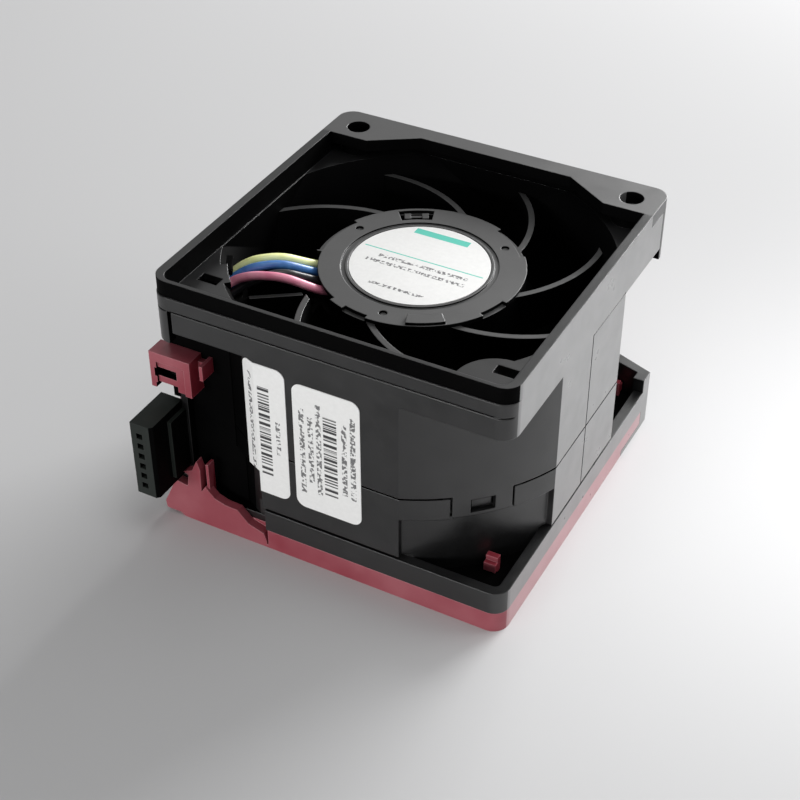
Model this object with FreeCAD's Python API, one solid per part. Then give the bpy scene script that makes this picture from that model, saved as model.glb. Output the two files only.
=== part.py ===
import FreeCAD
import Part
import math
import os

# Server fan module: a 60 mm axial fan with its motor, set in a plug-in carrier for a fan bay.
# Millimetres. +Z runs along the fan axis from the air inlet (bottom) to the outlet (top), where
# the fixed vanes are. The origin is on the fan axis at the bottom. The plug faces -Y, the release
# latch is on the +Y side.

# ---- driving dimensions: housing ------------------------------------------------------------
FRAME_WIDTH = 60.0          # square outline of a standard 60 mm fan
FLAT_WALL = 1.0             # upper housing beside the vane frame's sleeve, at the four flats
CORNER_WALL = 3.4           # and at the round corners
TOTAL_HEIGHT = 46.7
FRAME_CORNER = 2.7
SEAM = 20.2                 # joint between lower and upper housing
BAND_HEIGHT = 4.0           # flush band of the lower housing under the seam
BAND_STEP = 0.9             # recess of the round corners below that band
SEAM_GROOVE = 0.3           # open joint line round the outside at the seam
SEAM_GROOVE_DEPTH = 0.45
RIM_HEIGHT = 9.0            # square rim, down from the top
FLARE_HEIGHT = 6.9          # the bore opens out over this height, up to the webs
FLARE_OUT = 2.8
WEB_DROP = 3.8              # corner webs inside the rim, down from its top
WEB_PLATE = 1.2             # web left over the way of the wires
LEDGE = 0.05                # the bell ends this far outside the bore at the flats
SIDE_WALL = 1.5
FRONT_WALL = 0.9
BOSS_RADIUS = 6.4
HOLE_EDGE = 5.0             # gives the standard 50 mm pitch of a 60 mm fan
HOLE_RADIUS = 1.95
HOLE_COLLAR = 1.2
TOP_BAND = 2.8              # slightly inset strip at the very top of the rim
BAND_INSET = 0.2
GROOVE_DROP = 5.3           # fine line round the front of the rim, down from its top
GROOVE = 0.3
LINER_WALL = 0.8            # sleeve of the vane frame, seated in the upper housing
LINER_GAP = 0.05
SLOT_INSET = (5.1, 8.6)     # from the side and from the front
SLOT_SIZE = (3.4, 2.0)
PARTING_Y = -0.9
TAB_SPAN = (213.5, 223.5)   # small tab of the left front web beside the wires
TAB_OUT = 1.1
LIP_SPAN = (206.0, 214.0)   # lower lip that the wires pass under
LIP_OUT = 1.8
LIP_DROP = 1.0
LIP_THICKNESS = 0.9
COLUMN_WIDTH = 2.9          # thin column of the rim at the left front corner
COLUMN_WALL = 1.6
COLUMN_DEPTH = 3.2
COLUMN_GAP = 0.7
COLUMN_DROP = 2.1           # under the rim
WIRE_WAY_SPAN = (206.0, 229.0)
WIRE_WAY_DROP = 3.3         # under the rim

# ---- snap tongues that lock the upper housing to the lower one ---------------------------------
SNAP_ANGLES = (-45.0, 45.0, 135.0)
TONGUE_SPAN = 17.0          # degrees
TONGUE_DROP = 3.8
TONGUE_WALL = 1.0
WINDOW_SPAN = 7.0
WINDOW_HEIGHT = 2.5
SNAP_GAP = 0.35
CATCH_SINK = 0.8

# ---- tray, carrier and rear rail ----------------------------------------------------------------
BEZEL_HEIGHT = 3.8
TRAY_FLOOR = 5.2
TRAY_TOP = 7.9
TRAY_WALL = 1.7
LIP_GAP = 0.6               # between the tray's lip and the housing over it
RAIL_TOP = 10.5
RAIL_REACH = 3.0            # behind the square outline
RAIL_SIDE_INSET = 0.1
RAIL_OVERLAP = 3.0
RAIL_SLANT_RUN = 8.0
RAIL_WALL = 2.0
FOOT_HEIGHT = 1.0
FOOT_LENGTH = 11.5
FOOT_WIDTH = 2.2
HOOK_FRONT = (5.5, 8.1)     # from the side and from the front
HOOK_BACK = (5.7, 1.8)      # from the side and from the back
HOOK_SIZE = (2.0, 1.0)
HOOK_RISE = 2.6
HOOK_LIP = 0.8
HOOK_GAP = 0.15
GUSSET_WALL = 1.5
GUSSET_LENGTH = 18.1
GUSSET_RIDGE = 6.9
GUARD_Z = (0.7, 2.2)        # groove of the inlet guard in the carrier frame
GUARD_SEAT = 0.8
GUARD_RIM = 0.9
GUARD_BAR = 1.2
GUARD_PITCH = 6.6
GUARD_RINGS = 3
GUARD_CENTRE = 3.0
SHROUD_WALL = 0.8           # screen that hides the wires at the left front corner
SHROUD_DEPTH = 3.4          # its front face, from the front of the square
SHROUD_SIDE_LENGTH = 9.6
SHROUD_SIDE_BOTTOM = 26.5

# ---- back plate ---------------------------------------------------------------------------------
PLATE_THICKNESS = 2.1
PLATE_END_DEPTH = 8.4
PLATE_MIDDLE_DEPTH = 3.3
PLATE_END_WIDTH = 8.5
PLATE_SLANT_RUN = 7.8
PLATE_HOLE_DEPTH = 4.8
PLATE_SKIRT = 1.4
LEG_DROP = 2.1              # under the rim
LEG_DEPTH = 3.1
LEG_WIDTH = 3.5
SEAT_GAP = 0.1

# ---- hub, vanes and cover ---------------------------------------------------------------------
HUB_RADIUS = 16.8
HUB_WALL = 0.9
HUB_HEIGHT = 9.3
HUB_FLOOR_DROP = 2.3        # top of the hub's floor, down from the top of its wall
HUB_FLOOR_THICKNESS = 1.5
COVER_DROP = 5.8            # top of the cover, down from the top of the rim
COVER_THICKNESS = 0.6
COVER_STEP = 0.8            # bayonet steps in the cover's outline
COVER_NOTCHES = ((36, 66), (157, 193), (194, 243), (253, 268), (332, 349))
COVER_PINS = (47, 160, 275)
PIN_INSET = 2.4             # from the hub's outside
PIN_RADIUS = 0.55
CLIP_SPAN = (109, 130)
PAD_SPAN = (290, 311)
LABEL_MARGIN = 5.65         # hub label, in from the hub's outside
LABEL_THICKNESS = 0.12
LABEL_CORNER = 1.6
LABEL_BOTTOM = 4.2          # front labels, above the tray's lip
LABEL_DROP = (0.5, 1.7)     # narrow and wide one, down from the rim
LABEL_WIDTH = (8.0, 11.5)
LABEL_START = (15.2, 24.4)  # from the left side of the square
VANE_COUNT = 8
VANE_PHASE = 136.0
VANE_SWEEP = 34.0
VANE_LEAN = 9.0
VANE_THICKNESS = 1.0
VANE_RAISE = 0.4            # above the bottom of the hub's wall
WIRE_GAP_SPAN = (194, 243)   # wires leave the hub between these angles
WIRE_GAP_DEPTH = 4.4
WIRE_VANE = 1               # this vane is a broad strut that carries the wires
STRUT_WIDTH = 7.4

# ---- impeller and motor ---------------------------------------------------------------------------
BLADE_COUNT = 7
TIP_CLEARANCE = 0.5
IMPELLER_HUB_SET = 0.4      # its radius is this much under the fixed hub's
IMPELLER_HUB_WALL = 1.1
IMPELLER_BOTTOM = 5.6
IMPELLER_GAP = 0.6          # under the fixed hub
BLADE_MARGIN = (2.8, 1.8)   # from the bottom and the top of the impeller's hub
BLADE_ROOT_THICKNESS = 1.5
BLADE_TIP_THICKNESS = 0.8
BLADE_CAMBER = 1.6
BLADE_COVER = 0.86          # share of the pitch that one blade covers, seen along the axis
BLADE_SWEEP = 16.0          # degrees the tip leads the root
YOKE_WALL = 0.8
MAGNET_WALL = 1.8
MAGNET_RAISE = 3.4          # above the impeller's bottom
MAGNET_HEIGHT = 18.0
AIR_GAP = 0.4
CORE_HEIGHT = 12.0
TOOTH_COUNT = 9
TOOTH_WIDTH = 1.8
COIL_THICKNESS = 0.7
SHOE_THICKNESS = 1.2
INSULATOR_THICKNESS = 0.6
SHAFT_RADIUS = 1.5
SHAFT_DROP = 2.0            # end of the shaft, down from the top of the hub's floor
BEARING_CLEARANCE = 0.04
BEARING_RADIUS = 4.0
BEARING_HEIGHT = 3.0
LOWER_BEARING_RAISE = 3.8   # above the impeller's bottom
UPPER_BEARING_DROP = 6.4    # seat of the upper bearing, down from the top of the hub's floor
TUBE_WALL = 0.6
BOARD_THICKNESS = 1.2
BOARD_GAP = 0.2
CAPACITOR_RADIUS = 2.0
CAPACITOR_HEIGHT = 3.2

# ---- plug and wires ---------------------------------------------------------------------------------
PLUG_OUT = 1.5              # the plug and its hood stand out from the left side
PLUG_WIDTH = 4.0
PLUG_REACH = 6.6            # in front of the square outline
PLUG_LENGTH = 8.6
PLUG_BOTTOM = 9.0
PLUG_HEIGHT = 14.3
PLUG_PITCH = 2.0
PLUG_WAYS = 6
PLUG_LOWEST_WAY = 1.9       # middle of the lowest socket, from the plug's bottom
SOCKET_OFFSET = 1.6         # middle of the sockets, from the plug's outer side
SOCKET_SIZE = 1.1
SOCKET_DEPTH = 5.0
POST_WALL = 1.2
POST_TOP = 31.7
POST_DEPTH = 1.6
HOOD_GAP = 2.7              # over the plug
HOOD_HEIGHT = 6.7
HOOD_WIDTH = 7.5
HOOD_WALL = 1.2
HOOD_ROOF = 1.7
HOOD_SINK = 0.4             # front wall behind the edge of the roof
RIB_WIDTH = 0.6             # thin rib beside the hood
RIB_OFFSET = 1.5
RIB_HEIGHT = 2.9
WIRE_RADIUS = 0.7

# ---- release latch --------------------------------------------------------------------------------------
LATCH_WIDTH = 12.0
LATCH_PIN_OUT = 1.6         # pin, behind the square outline
LATCH_PIN_Z = 14.0
LATCH_PIN_RADIUS = 0.7
LATCH_EYE_WALL = 0.7
LATCH_DROP = 11.7           # top of the lever, down from the top of the rim
LATCH_THICKNESS = 1.5
LATCH_LEAN = 7.0            # degrees that the lever stands out from the barrel at rest
LATCH_CLEARANCE = 0.05
LATCH_SIDE_GAP = 0.3
EAR_WIDTH = 1.6
EAR_RISE = 2.0              # above the pin
SPRING_WIRE = 0.4
SPRING_PITCH = 0.45
SPRING_TURNS = 4
SPRING_LEG = 4.5

# ---- values worked out from the driving ones --------------------------------------------------------------
HALF = FRAME_WIDTH / 2
LINER_RADIUS = HALF - FLAT_WALL
BORE_RADIUS = LINER_RADIUS - LINER_WALL
BARREL_RADIUS = LINER_RADIUS + CORNER_WALL
FLARE_RADIUS = BORE_RADIUS + FLARE_OUT
FLAT_HALF = math.sqrt(BARREL_RADIUS ** 2 - HALF ** 2)
BAND_BOTTOM = SEAM - BAND_HEIGHT
HOLE_X = HALF - HOLE_EDGE
PLATE_HOLE_Y = HALF - PLATE_HOLE_DEPTH
SKIRT_BOTTOM = TOTAL_HEIGHT - RIM_HEIGHT
WEB_TOP = TOTAL_HEIGHT - WEB_DROP
FLARE_BOTTOM = WEB_TOP - FLARE_HEIGHT
GROOVE_Z = TOTAL_HEIGHT - GROOVE_DROP
COLUMN_BOTTOM = SKIRT_BOTTOM - COLUMN_DROP
WIRE_WAY_BOTTOM = SKIRT_BOTTOM - WIRE_WAY_DROP
LEG_BOTTOM = SKIRT_BOTTOM - LEG_DROP
INNER_X = HALF - SIDE_WALL
INNER_FRONT = -(HALF - FRONT_WALL)
INNER_BACK = HALF - PLATE_SKIRT
RAIL_BACK = HALF + RAIL_REACH
RAIL_SIDE_Y = HALF - RAIL_SIDE_INSET
RAIL_START = HALF - RAIL_OVERLAP
FOOT_START = RAIL_SIDE_Y - FOOT_LENGTH
GUSSET_END = -HALF + GUSSET_LENGTH
SHROUD_FRONT = -HALF + SHROUD_DEPTH
PLUG_X = (-HALF - PLUG_OUT, -HALF - PLUG_OUT + PLUG_WIDTH)
PLUG_Y = (-HALF - PLUG_REACH, -HALF - PLUG_REACH + PLUG_LENGTH)
PLUG_Z = (PLUG_BOTTOM, PLUG_BOTTOM + PLUG_HEIGHT)
SOCKET_X = PLUG_X[0] + SOCKET_OFFSET
HOOD_X = (PLUG_X[0], PLUG_X[0] + HOOD_WIDTH)
HOOD_Z = (PLUG_Z[1] + HOOD_GAP, PLUG_Z[1] + HOOD_GAP + HOOD_HEIGHT)
PLATE_BOTTOM = TOTAL_HEIGHT - PLATE_THICKNESS
COVER_TOP = TOTAL_HEIGHT - COVER_DROP
HUB_RIM = COVER_TOP - COVER_THICKNESS
HUB_BOTTOM = HUB_RIM - HUB_HEIGHT
HUB_FLOOR = (HUB_RIM - HUB_FLOOR_DROP - HUB_FLOOR_THICKNESS, HUB_RIM - HUB_FLOOR_DROP)
PIN_CIRCLE = HUB_RADIUS - PIN_INSET
LABEL_RADIUS = HUB_RADIUS - LABEL_MARGIN
WIRE_GAP_START = HUB_RADIUS - WIRE_GAP_DEPTH
VANE_BOTTOM = HUB_BOTTOM + VANE_RAISE
TIP_RADIUS = BORE_RADIUS - TIP_CLEARANCE
IMPELLER_HUB_RADIUS = HUB_RADIUS - IMPELLER_HUB_SET
IMPELLER_HUB = (IMPELLER_BOTTOM, HUB_BOTTOM - IMPELLER_GAP)
BLADE_SPAN_Z = (IMPELLER_HUB[0] + BLADE_MARGIN[0], IMPELLER_HUB[1] - BLADE_MARGIN[1])
MAGNET_Z = (IMPELLER_BOTTOM + MAGNET_RAISE, IMPELLER_BOTTOM + MAGNET_RAISE + MAGNET_HEIGHT)
CORE_MIDDLE = (MAGNET_Z[0] + MAGNET_Z[1]) / 2
CORE_Z = (CORE_MIDDLE - CORE_HEIGHT / 2, CORE_MIDDLE + CORE_HEIGHT / 2)
SHAFT_TOP = HUB_FLOOR[1] - SHAFT_DROP
LOWER_BEARING_Z = IMPELLER_BOTTOM + LOWER_BEARING_RAISE
UPPER_BEARING_Z = HUB_FLOOR[1] - UPPER_BEARING_DROP
LATCH_PIN_Y = HALF + LATCH_PIN_OUT
LATCH_TOP = TOTAL_HEIGHT - LATCH_DROP
YOKE_RADIUS = IMPELLER_HUB_RADIUS - IMPELLER_HUB_WALL
MAGNET_RADIUS = YOKE_RADIUS - YOKE_WALL
CORE_RADIUS = MAGNET_RADIUS - MAGNET_WALL - AIR_GAP
TUBE_RADIUS = BEARING_RADIUS + TUBE_WALL
YOKE_FLOOR = IMPELLER_HUB[0] + IMPELLER_HUB_WALL
BEARING_BORE = SHAFT_RADIUS + BEARING_CLEARANCE
BOARD_TOP = HUB_FLOOR[0]
BOARD_BOTTOM = BOARD_TOP - BOARD_THICKNESS
POST_FRONT = SHROUD_FRONT - POST_DEPTH
PARTS = "parts"


# ---- small shape helpers ---------------------------------------------------------------------------------
def vec(x, y, z):
    return FreeCAD.Vector(x, y, z)


def box(x, y, z):
    """Box between two values on each axis."""
    return Part.makeBox(x[1] - x[0], y[1] - y[0], z[1] - z[0], vec(x[0], y[0], z[0]))


def cylinder(radius, z, centre=(0.0, 0.0)):
    return Part.makeCylinder(radius, z[1] - z[0], vec(centre[0], centre[1], z[0]))


def ring(outer, inner, z, centre=(0.0, 0.0)):
    return cylinder(outer, z, centre).cut(cylinder(inner, z, centre))


def turn(shape, degrees):
    """Copy of a shape, turned about the fan axis."""
    copy = shape.copy()
    copy.rotate(vec(0, 0, 0), vec(0, 0, 1), degrees)
    return copy


def mirror_x(shape):
    return shape.mirror(vec(0, 0, 0), vec(1, 0, 0))


def sector(outer, inner, angles, z):
    """Piece of a ring between two angles in degrees."""
    span = angles[1] - angles[0]
    wedge = Part.makeCylinder(outer, z[1] - z[0], vec(0, 0, z[0]), vec(0, 0, 1), span)
    return turn(wedge.cut(cylinder(inner, z)), angles[0])


def prism(points, z):
    """Upright prism over a closed polygon."""
    corners = [vec(x, y, z[0]) for x, y in points]
    face = Part.Face(Part.makePolygon(corners + corners[:1]))
    return face.extrude(vec(0, 0, z[1] - z[0]))


def side_plate(points, y):
    """Plate whose outline is given as (x, z) and whose thickness runs along Y."""
    corners = [vec(x, y[0], z) for x, z in points]
    face = Part.Face(Part.makePolygon(corners + corners[:1]))
    return face.extrude(vec(0, y[1] - y[0], 0))


def edges_along(shape, axis, keep=None):
    """Straight edges parallel to an axis, or those of them that keep(point) accepts."""
    found = []
    for edge in shape.Edges:
        start = edge.Vertexes[0].Point
        run = edge.Vertexes[-1].Point - start
        if run.Length > 1e-6 and run.cross(axis).Length < 1e-6 and (keep is None or keep(start)):
            found.append(edge)
    return found


def upright_edges(shape, keep=None):
    return edges_along(shape, vec(0, 0, 1), keep)


def rounded_box(x, y, z, radius):
    plain = box(x, y, z)
    return plain.makeFillet(radius, upright_edges(plain))


def fuse_all(shapes):
    shapes = list(shapes)
    return shapes[0].multiFuse(shapes[1:]).removeSplitter() if len(shapes) > 1 else shapes[0]


def save(name, shape):
    """One STEP file per piece; separate loose solids stay separate in it."""
    solids = shape.Solids
    result = solids[0] if len(solids) == 1 else Part.makeCompound(solids)
    result.exportStep(PARTS + "/" + name + ".step")
    print(name, len(solids), "solids, volume", round(result.Volume, 1), "valid", result.isValid())


# ---- shapes that several pieces share ------------------------------------------------------------------------
def barrel(z, radius=BARREL_RADIUS, half=HALF):
    """Round barrel with four flats."""
    return cylinder(radius, z).common(box((-half, half), (-half, half), z))


def recessed_barrel(z, step, half=HALF):
    """Barrel whose round corners lie back by a step while the four flats keep their width."""
    along_x = box((-FLAT_HALF, FLAT_HALF), (-half, half), z)
    along_y = box((-half, half), (-FLAT_HALF, FLAT_HALF), z)
    return fuse_all([barrel(z, BARREL_RADIUS - step, half), along_x, along_y])


def flare():
    """The opening bell between the bore and the corner webs."""
    low = vec(BORE_RADIUS, 0, FLARE_BOTTOM)
    high = vec(FLARE_RADIUS, 0, WEB_TOP)
    middle = vec(BORE_RADIUS + 0.3 * (FLARE_RADIUS - BORE_RADIUS), 0, (FLARE_BOTTOM + WEB_TOP) / 2)
    axis_low = vec(0, 0, FLARE_BOTTOM)
    axis_high = vec(0, 0, WEB_TOP)
    edges = [
        Part.makeLine(axis_low, low),
        Part.Arc(low, middle, high).toShape(),
        Part.makeLine(high, axis_high),
        Part.makeLine(axis_high, axis_low),
    ]
    return Part.Face(Part.Wire(edges)).revolve(vec(0, 0, 0), vec(0, 0, 1), 360)


def air_passage():
    """Everything inside the rim and the bore that air flows through."""
    inner_x = (-INNER_X, INNER_X)
    inner_y = (INNER_FRONT, INNER_BACK)
    reach = BORE_RADIUS + LEDGE
    bell = flare().common(box((-reach, reach), (-reach, reach), (FLARE_BOTTOM, WEB_TOP)))
    bore = cylinder(BORE_RADIUS, (-1.0, FLARE_BOTTOM))
    pocket = rounded_box(inner_x, inner_y, (WEB_TOP, TOTAL_HEIGHT + 1), FRAME_CORNER - FRONT_WALL)
    return fuse_all([bore, bell, pocket])


def plate_outline():
    """Back plate seen from above: deep ends, slants and a shallow middle."""
    slant_out = HALF - PLATE_END_WIDTH
    slant_in = slant_out - PLATE_SLANT_RUN
    end_y = HALF - PLATE_END_DEPTH
    middle_y = HALF - PLATE_MIDDLE_DEPTH
    return [
        (-HALF, HALF), (-HALF, end_y), (-slant_out, end_y), (-slant_in, middle_y),
        (slant_in, middle_y), (slant_out, end_y), (HALF, end_y), (HALF, HALF),
    ]


def back_plate_blank(gap):
    """Plate, back skirt and two legs, all grown by gap on the faces that meet the upper housing."""
    z = (PLATE_BOTTOM - gap, TOTAL_HEIGHT)
    plate = prism(plate_outline(), z)
    skirt = box((-HALF, HALF), (INNER_BACK - gap, HALF), (SKIRT_BOTTOM, z[1]))
    leg = box((HALF - LEG_WIDTH - gap, HALF), (HALF - LEG_DEPTH - gap, HALF), (LEG_BOTTOM, z[1]))
    blank = fuse_all([plate, skirt, leg, mirror_x(leg)])
    corners = upright_edges(blank, lambda point: abs(abs(point.x) - HALF) + abs(point.y - HALF) < 0.01)
    return blank.makeFillet(FRAME_CORNER, corners)


def screw_holes(z):
    """Two through holes beside the back plate's corners, on the standard pitch."""
    return fuse_all(cylinder(HOLE_RADIUS, z, (side * HOLE_X, PLATE_HOLE_Y)) for side in (-1, 1))


def wire_way():
    """Way for the four wires from the bell out to the corner, under the plate of the left front web."""
    z = (WIRE_WAY_BOTTOM, WEB_TOP - WEB_PLATE)
    return sector(2 * HALF, BORE_RADIUS - 1, WIRE_WAY_SPAN, z).common(box((-INNER_X, 0), (INNER_FRONT, 0), z))


# ---- housing pieces ----------------------------------------------------------------------------------------------
def tongue(angle, gap=0.0):
    half_span = TONGUE_SPAN / 2 + math.degrees(gap / BARREL_RADIUS)
    z = (SEAM - TONGUE_DROP - gap, SEAM + SEAM_GROOVE)
    inner = BARREL_RADIUS - TONGUE_WALL - gap
    return sector(BARREL_RADIUS + gap, inner, (angle - half_span, angle + half_span), z)


def catch_window(angle, gap=0.0):
    """Window in a tongue, or with a gap the catch that stands in it."""
    half_span = WINDOW_SPAN / 2 - math.degrees(gap / BARREL_RADIUS)
    bottom = SEAM - TONGUE_DROP + (TONGUE_DROP - WINDOW_HEIGHT) / 2
    inner = BARREL_RADIUS - TONGUE_WALL - SNAP_GAP - 0.2
    z = (bottom + gap, bottom + WINDOW_HEIGHT - gap)
    outer = BARREL_RADIUS - CATCH_SINK if gap else BARREL_RADIUS
    return sector(outer, inner, (angle - half_span, angle + half_span), z)


def parting_line(z):
    """Shallow upright line down the right flat."""
    return box((HALF - GROOVE / 2, HALF + 1), (PARTING_Y, PARTING_Y + GROOVE), z)


def lower_housing():
    body_bottom = TRAY_TOP + LIP_GAP
    band = barrel((BAND_BOTTOM, SEAM))
    body = recessed_barrel((body_bottom, BAND_BOTTOM), BAND_STEP)
    foot = barrel((TRAY_FLOOR, body_bottom), BARREL_RADIUS - BAND_STEP, HALF - TRAY_WALL)
    shell = fuse_all([band, body, foot]).cut(cylinder(BORE_RADIUS, (0, SEAM)))
    for angle in SNAP_ANGLES:
        shell = shell.cut(tongue(angle, SNAP_GAP))
        shell = shell.fuse(catch_window(angle, SNAP_GAP))
    return shell.cut(parting_line((body_bottom, SEAM)))


def seam_groove():
    """Joint line round the outside of the upper housing's lower edge."""
    z = (SEAM, SEAM + SEAM_GROOVE)
    inside = barrel(z, BARREL_RADIUS - SEAM_GROOVE_DEPTH, HALF - SEAM_GROOVE_DEPTH)
    return barrel(z, BARREL_RADIUS + 1, HALF + 1).cut(inside)


def front_groove():
    """Fine line along the front of the rim, under its top strip."""
    z = (GROOVE_Z, GROOVE_Z + GROOVE)
    front = box((-HALF - 1, HALF + 1), (-HALF - 1, -HALF + FRAME_CORNER / 2), z)
    inside = HALF - GROOVE / 2
    return front.cut(rounded_box((-inside, inside), (-inside, inside), z, FRAME_CORNER))


def corner_column():
    """Thin column that is left of the rim's left front corner, over the opening for the wires."""
    z = (COLUMN_BOTTOM, GROOVE_Z)
    outer = rounded_box((-HALF, HALF), (-HALF, HALF), z, FRAME_CORNER)
    inside = HALF - COLUMN_WALL
    inner = rounded_box((-inside, inside), (-inside, inside), z, FRAME_CORNER - COLUMN_WALL)
    corner = box((-HALF, -HALF + COLUMN_WIDTH), (-HALF, -HALF + COLUMN_DEPTH), z)
    return outer.cut(inner).common(corner)


def upper_housing():
    skirt_z = (SKIRT_BOTTOM, TOTAL_HEIGHT - TOP_BAND)
    rim = rounded_box((-HALF, HALF), (-HALF, HALF), skirt_z, FRAME_CORNER)
    top = rounded_box((-HALF, HALF), (-HALF + BAND_INSET, HALF), (skirt_z[1], TOTAL_HEIGHT), FRAME_CORNER)
    shell = fuse_all([barrel((SEAM, SKIRT_BOTTOM)), rim, top]).cut(air_passage())
    outline = rounded_box((-HALF, HALF), (-HALF, HALF), (SKIRT_BOTTOM, PLATE_BOTTOM), FRAME_CORNER)
    boss = cylinder(BOSS_RADIUS, (SKIRT_BOTTOM, WEB_TOP), (HOLE_X, -HOLE_X)).common(outline)
    tab_z = (WEB_TOP - WEB_PLATE, WEB_TOP)
    tab = sector(FLARE_RADIUS + 1, FLARE_RADIUS - TAB_OUT, TAB_SPAN, tab_z)
    lip_z = (WEB_TOP - LIP_DROP - LIP_THICKNESS, WEB_TOP - LIP_DROP)
    lip = sector(FLARE_RADIUS + 0.6, FLARE_RADIUS - LIP_OUT, LIP_SPAN, lip_z)
    collars = [
        cylinder(HOLE_RADIUS + HOLE_COLLAR, (WEB_TOP - 1, PLATE_BOTTOM), (side * HOLE_X, PLATE_HOLE_Y))
        for side in (-1, 1)
    ]
    shell = fuse_all([shell, boss] + collars).cut(wire_way()).fuse([tab, lip])
    shell = shell.cut(cylinder(LINER_RADIUS + LINER_GAP, (SEAM - 1, FLARE_BOTTOM)))
    shell = shell.cut(seam_groove()).cut(front_groove())
    for angle in SNAP_ANGLES:
        shell = shell.fuse(tongue(angle).cut(catch_window(angle)))
    width, depth = SLOT_SIZE
    for side in (-1, 1):
        x = side * (HALF - SLOT_INSET[0])
        y = -HALF + SLOT_INSET[1]
        slot_z = (SKIRT_BOTTOM - 1, WEB_TOP + 1)
        shell = shell.cut(box((x - width / 2, x + width / 2), (y - depth / 2, y + depth / 2), slot_z))
    shell = shell.cut(back_plate_blank(SEAT_GAP)).cut(screw_holes((0, TOTAL_HEIGHT)))
    band_start = -HALF + COLUMN_WIDTH + COLUMN_GAP
    opening = box((-HALF - 1, band_start), (-HALF - 1, -HALF + COLUMN_DEPTH), (SKIRT_BOTTOM - 1, GROOVE_Z))
    shell = shell.cut(opening).fuse(corner_column())
    skirt_line = box((HALF - GROOVE / 2, HALF + 1), (PARTING_Y, FLAT_HALF), (SKIRT_BOTTOM, SKIRT_BOTTOM + GROOVE))
    return shell.cut(parting_line((SEAM, SKIRT_BOTTOM))).cut(skirt_line)


def back_plate():
    return back_plate_blank(0.0).cut(screw_holes((0, TOTAL_HEIGHT + 1)))


def rail_outline(wall):
    """Half-open outline round the back, moved in by a wall."""
    side = HALF - wall
    back = RAIL_BACK - wall
    slant = HALF - RAIL_SLANT_RUN - wall / 3
    corner = RAIL_SIDE_Y - wall / 2
    return [
        (-side, RAIL_START - 1), (-side, corner), (-slant, back),
        (slant, back), (side, corner), (side, RAIL_START - 1),
    ]


def rear_rail():
    full = prism(rail_outline(0.0), (FOOT_HEIGHT, RAIL_TOP))
    inside = prism(rail_outline(RAIL_WALL), (0, RAIL_TOP + 1))
    wall = full.cut(inside).cut(box((-HALF - 1, HALF + 1), (0, RAIL_START), (0, RAIL_TOP + 1)))
    foot = box((HALF - FOOT_WIDTH, HALF), (FOOT_START, RAIL_SIDE_Y), (0, FOOT_HEIGHT))
    ledge = box((HALF - FOOT_WIDTH, HALF), (RAIL_START, RAIL_SIDE_Y), (0, BEZEL_HEIGHT))
    feet = foot.fuse(ledge)
    ear = latch_ear()
    return fuse_all([wall, feet, mirror_x(feet), ear, mirror_x(ear)]).cut(latch_pin_blank(0.0))


def tray():
    """Shallow black tray: floor with the inlet hole, lip on three sides."""
    outline = [
        (-HALF, -HALF), (HALF, -HALF), (HALF, RAIL_START), (-HALF, RAIL_START),
    ]
    block = prism(outline, (BEZEL_HEIGHT, TRAY_TOP))
    front = upright_edges(block, lambda point: point.y < 0)
    block = block.makeFillet(FRAME_CORNER, front)
    inner = HALF - TRAY_WALL
    hollow = box((-inner, inner), (-inner, RAIL_START + 1), (TRAY_FLOOR, TRAY_TOP + 1))
    hollow = hollow.makeFillet(FRAME_CORNER - TRAY_WALL, upright_edges(hollow, lambda point: point.y < 0))
    back_floor = prism(rail_outline(RAIL_WALL), (BEZEL_HEIGHT, TRAY_FLOOR))
    shape = block.cut(hollow).fuse(back_floor).removeSplitter().cut(cylinder(BORE_RADIUS, (0, TRAY_TOP + 1)))
    shape = shape.cut(box((HALF - FOOT_WIDTH, HALF), (RAIL_START, HALF), (0, BEZEL_HEIGHT)))
    for x, y in hook_places():
        shape = shape.cut(hook_post(x, y, HOOK_GAP, 0.0))
    gusset_room = box((-HALF - 1, GUSSET_END), (-HALF - 1, -HALF + GUSSET_WALL + SEAT_GAP), (0, TRAY_TOP + 1))
    lip_room = box((-HALF - 1, GUSSET_END), (-HALF - 1, -HALF + TRAY_WALL), (TRAY_FLOOR, TRAY_TOP + 1))
    return shape.cut(gusset_room).cut(lip_room).fuse(wire_shroud())


def wire_shroud():
    """Screen at the left front corner, open behind the plug, and the post beside the plug."""
    top = SKIRT_BOTTOM - SEAT_GAP
    front = box((-HALF, 0), (SHROUD_FRONT, SHROUD_FRONT + SHROUD_WALL), (TRAY_FLOOR - 0.5, top))
    side_y = (SHROUD_FRONT, SHROUD_FRONT + SHROUD_SIDE_LENGTH)
    side = box((-HALF, -HALF + SHROUD_WALL), side_y, (SHROUD_SIDE_BOTTOM, top))
    post_x = (PLUG_X[1], PLUG_X[1] + POST_WALL)
    post = box(post_x, (POST_FRONT, SHROUD_FRONT), (TRAY_FLOOR - 0.5, POST_TOP))
    lower = cylinder(BARREL_RADIUS - BAND_STEP + SEAT_GAP, (0, BAND_BOTTOM - SEAT_GAP))
    upper = cylinder(BARREL_RADIUS + SEAT_GAP, (BAND_BOTTOM - SEAT_GAP, TOTAL_HEIGHT))
    mouth_z = (PLUG_Z[0] + 2.0, PLUG_Z[1] - 1.0)
    mouth = box((-HALF - 1, PLUG_X[1] - 0.8), (SHROUD_FRONT - 1, SHROUD_FRONT + 2), mouth_z)
    return fuse_all([front, side, post]).cut(lower).cut(upper).cut(mouth)


def hook_places():
    front_x, front_y = HOOK_FRONT
    back_x, back_y = HOOK_BACK
    return [(HALF - front_x, -HALF + front_y), (HALF - back_x, HALF - back_y), (-HALF + back_x, HALF - back_y)]


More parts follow.
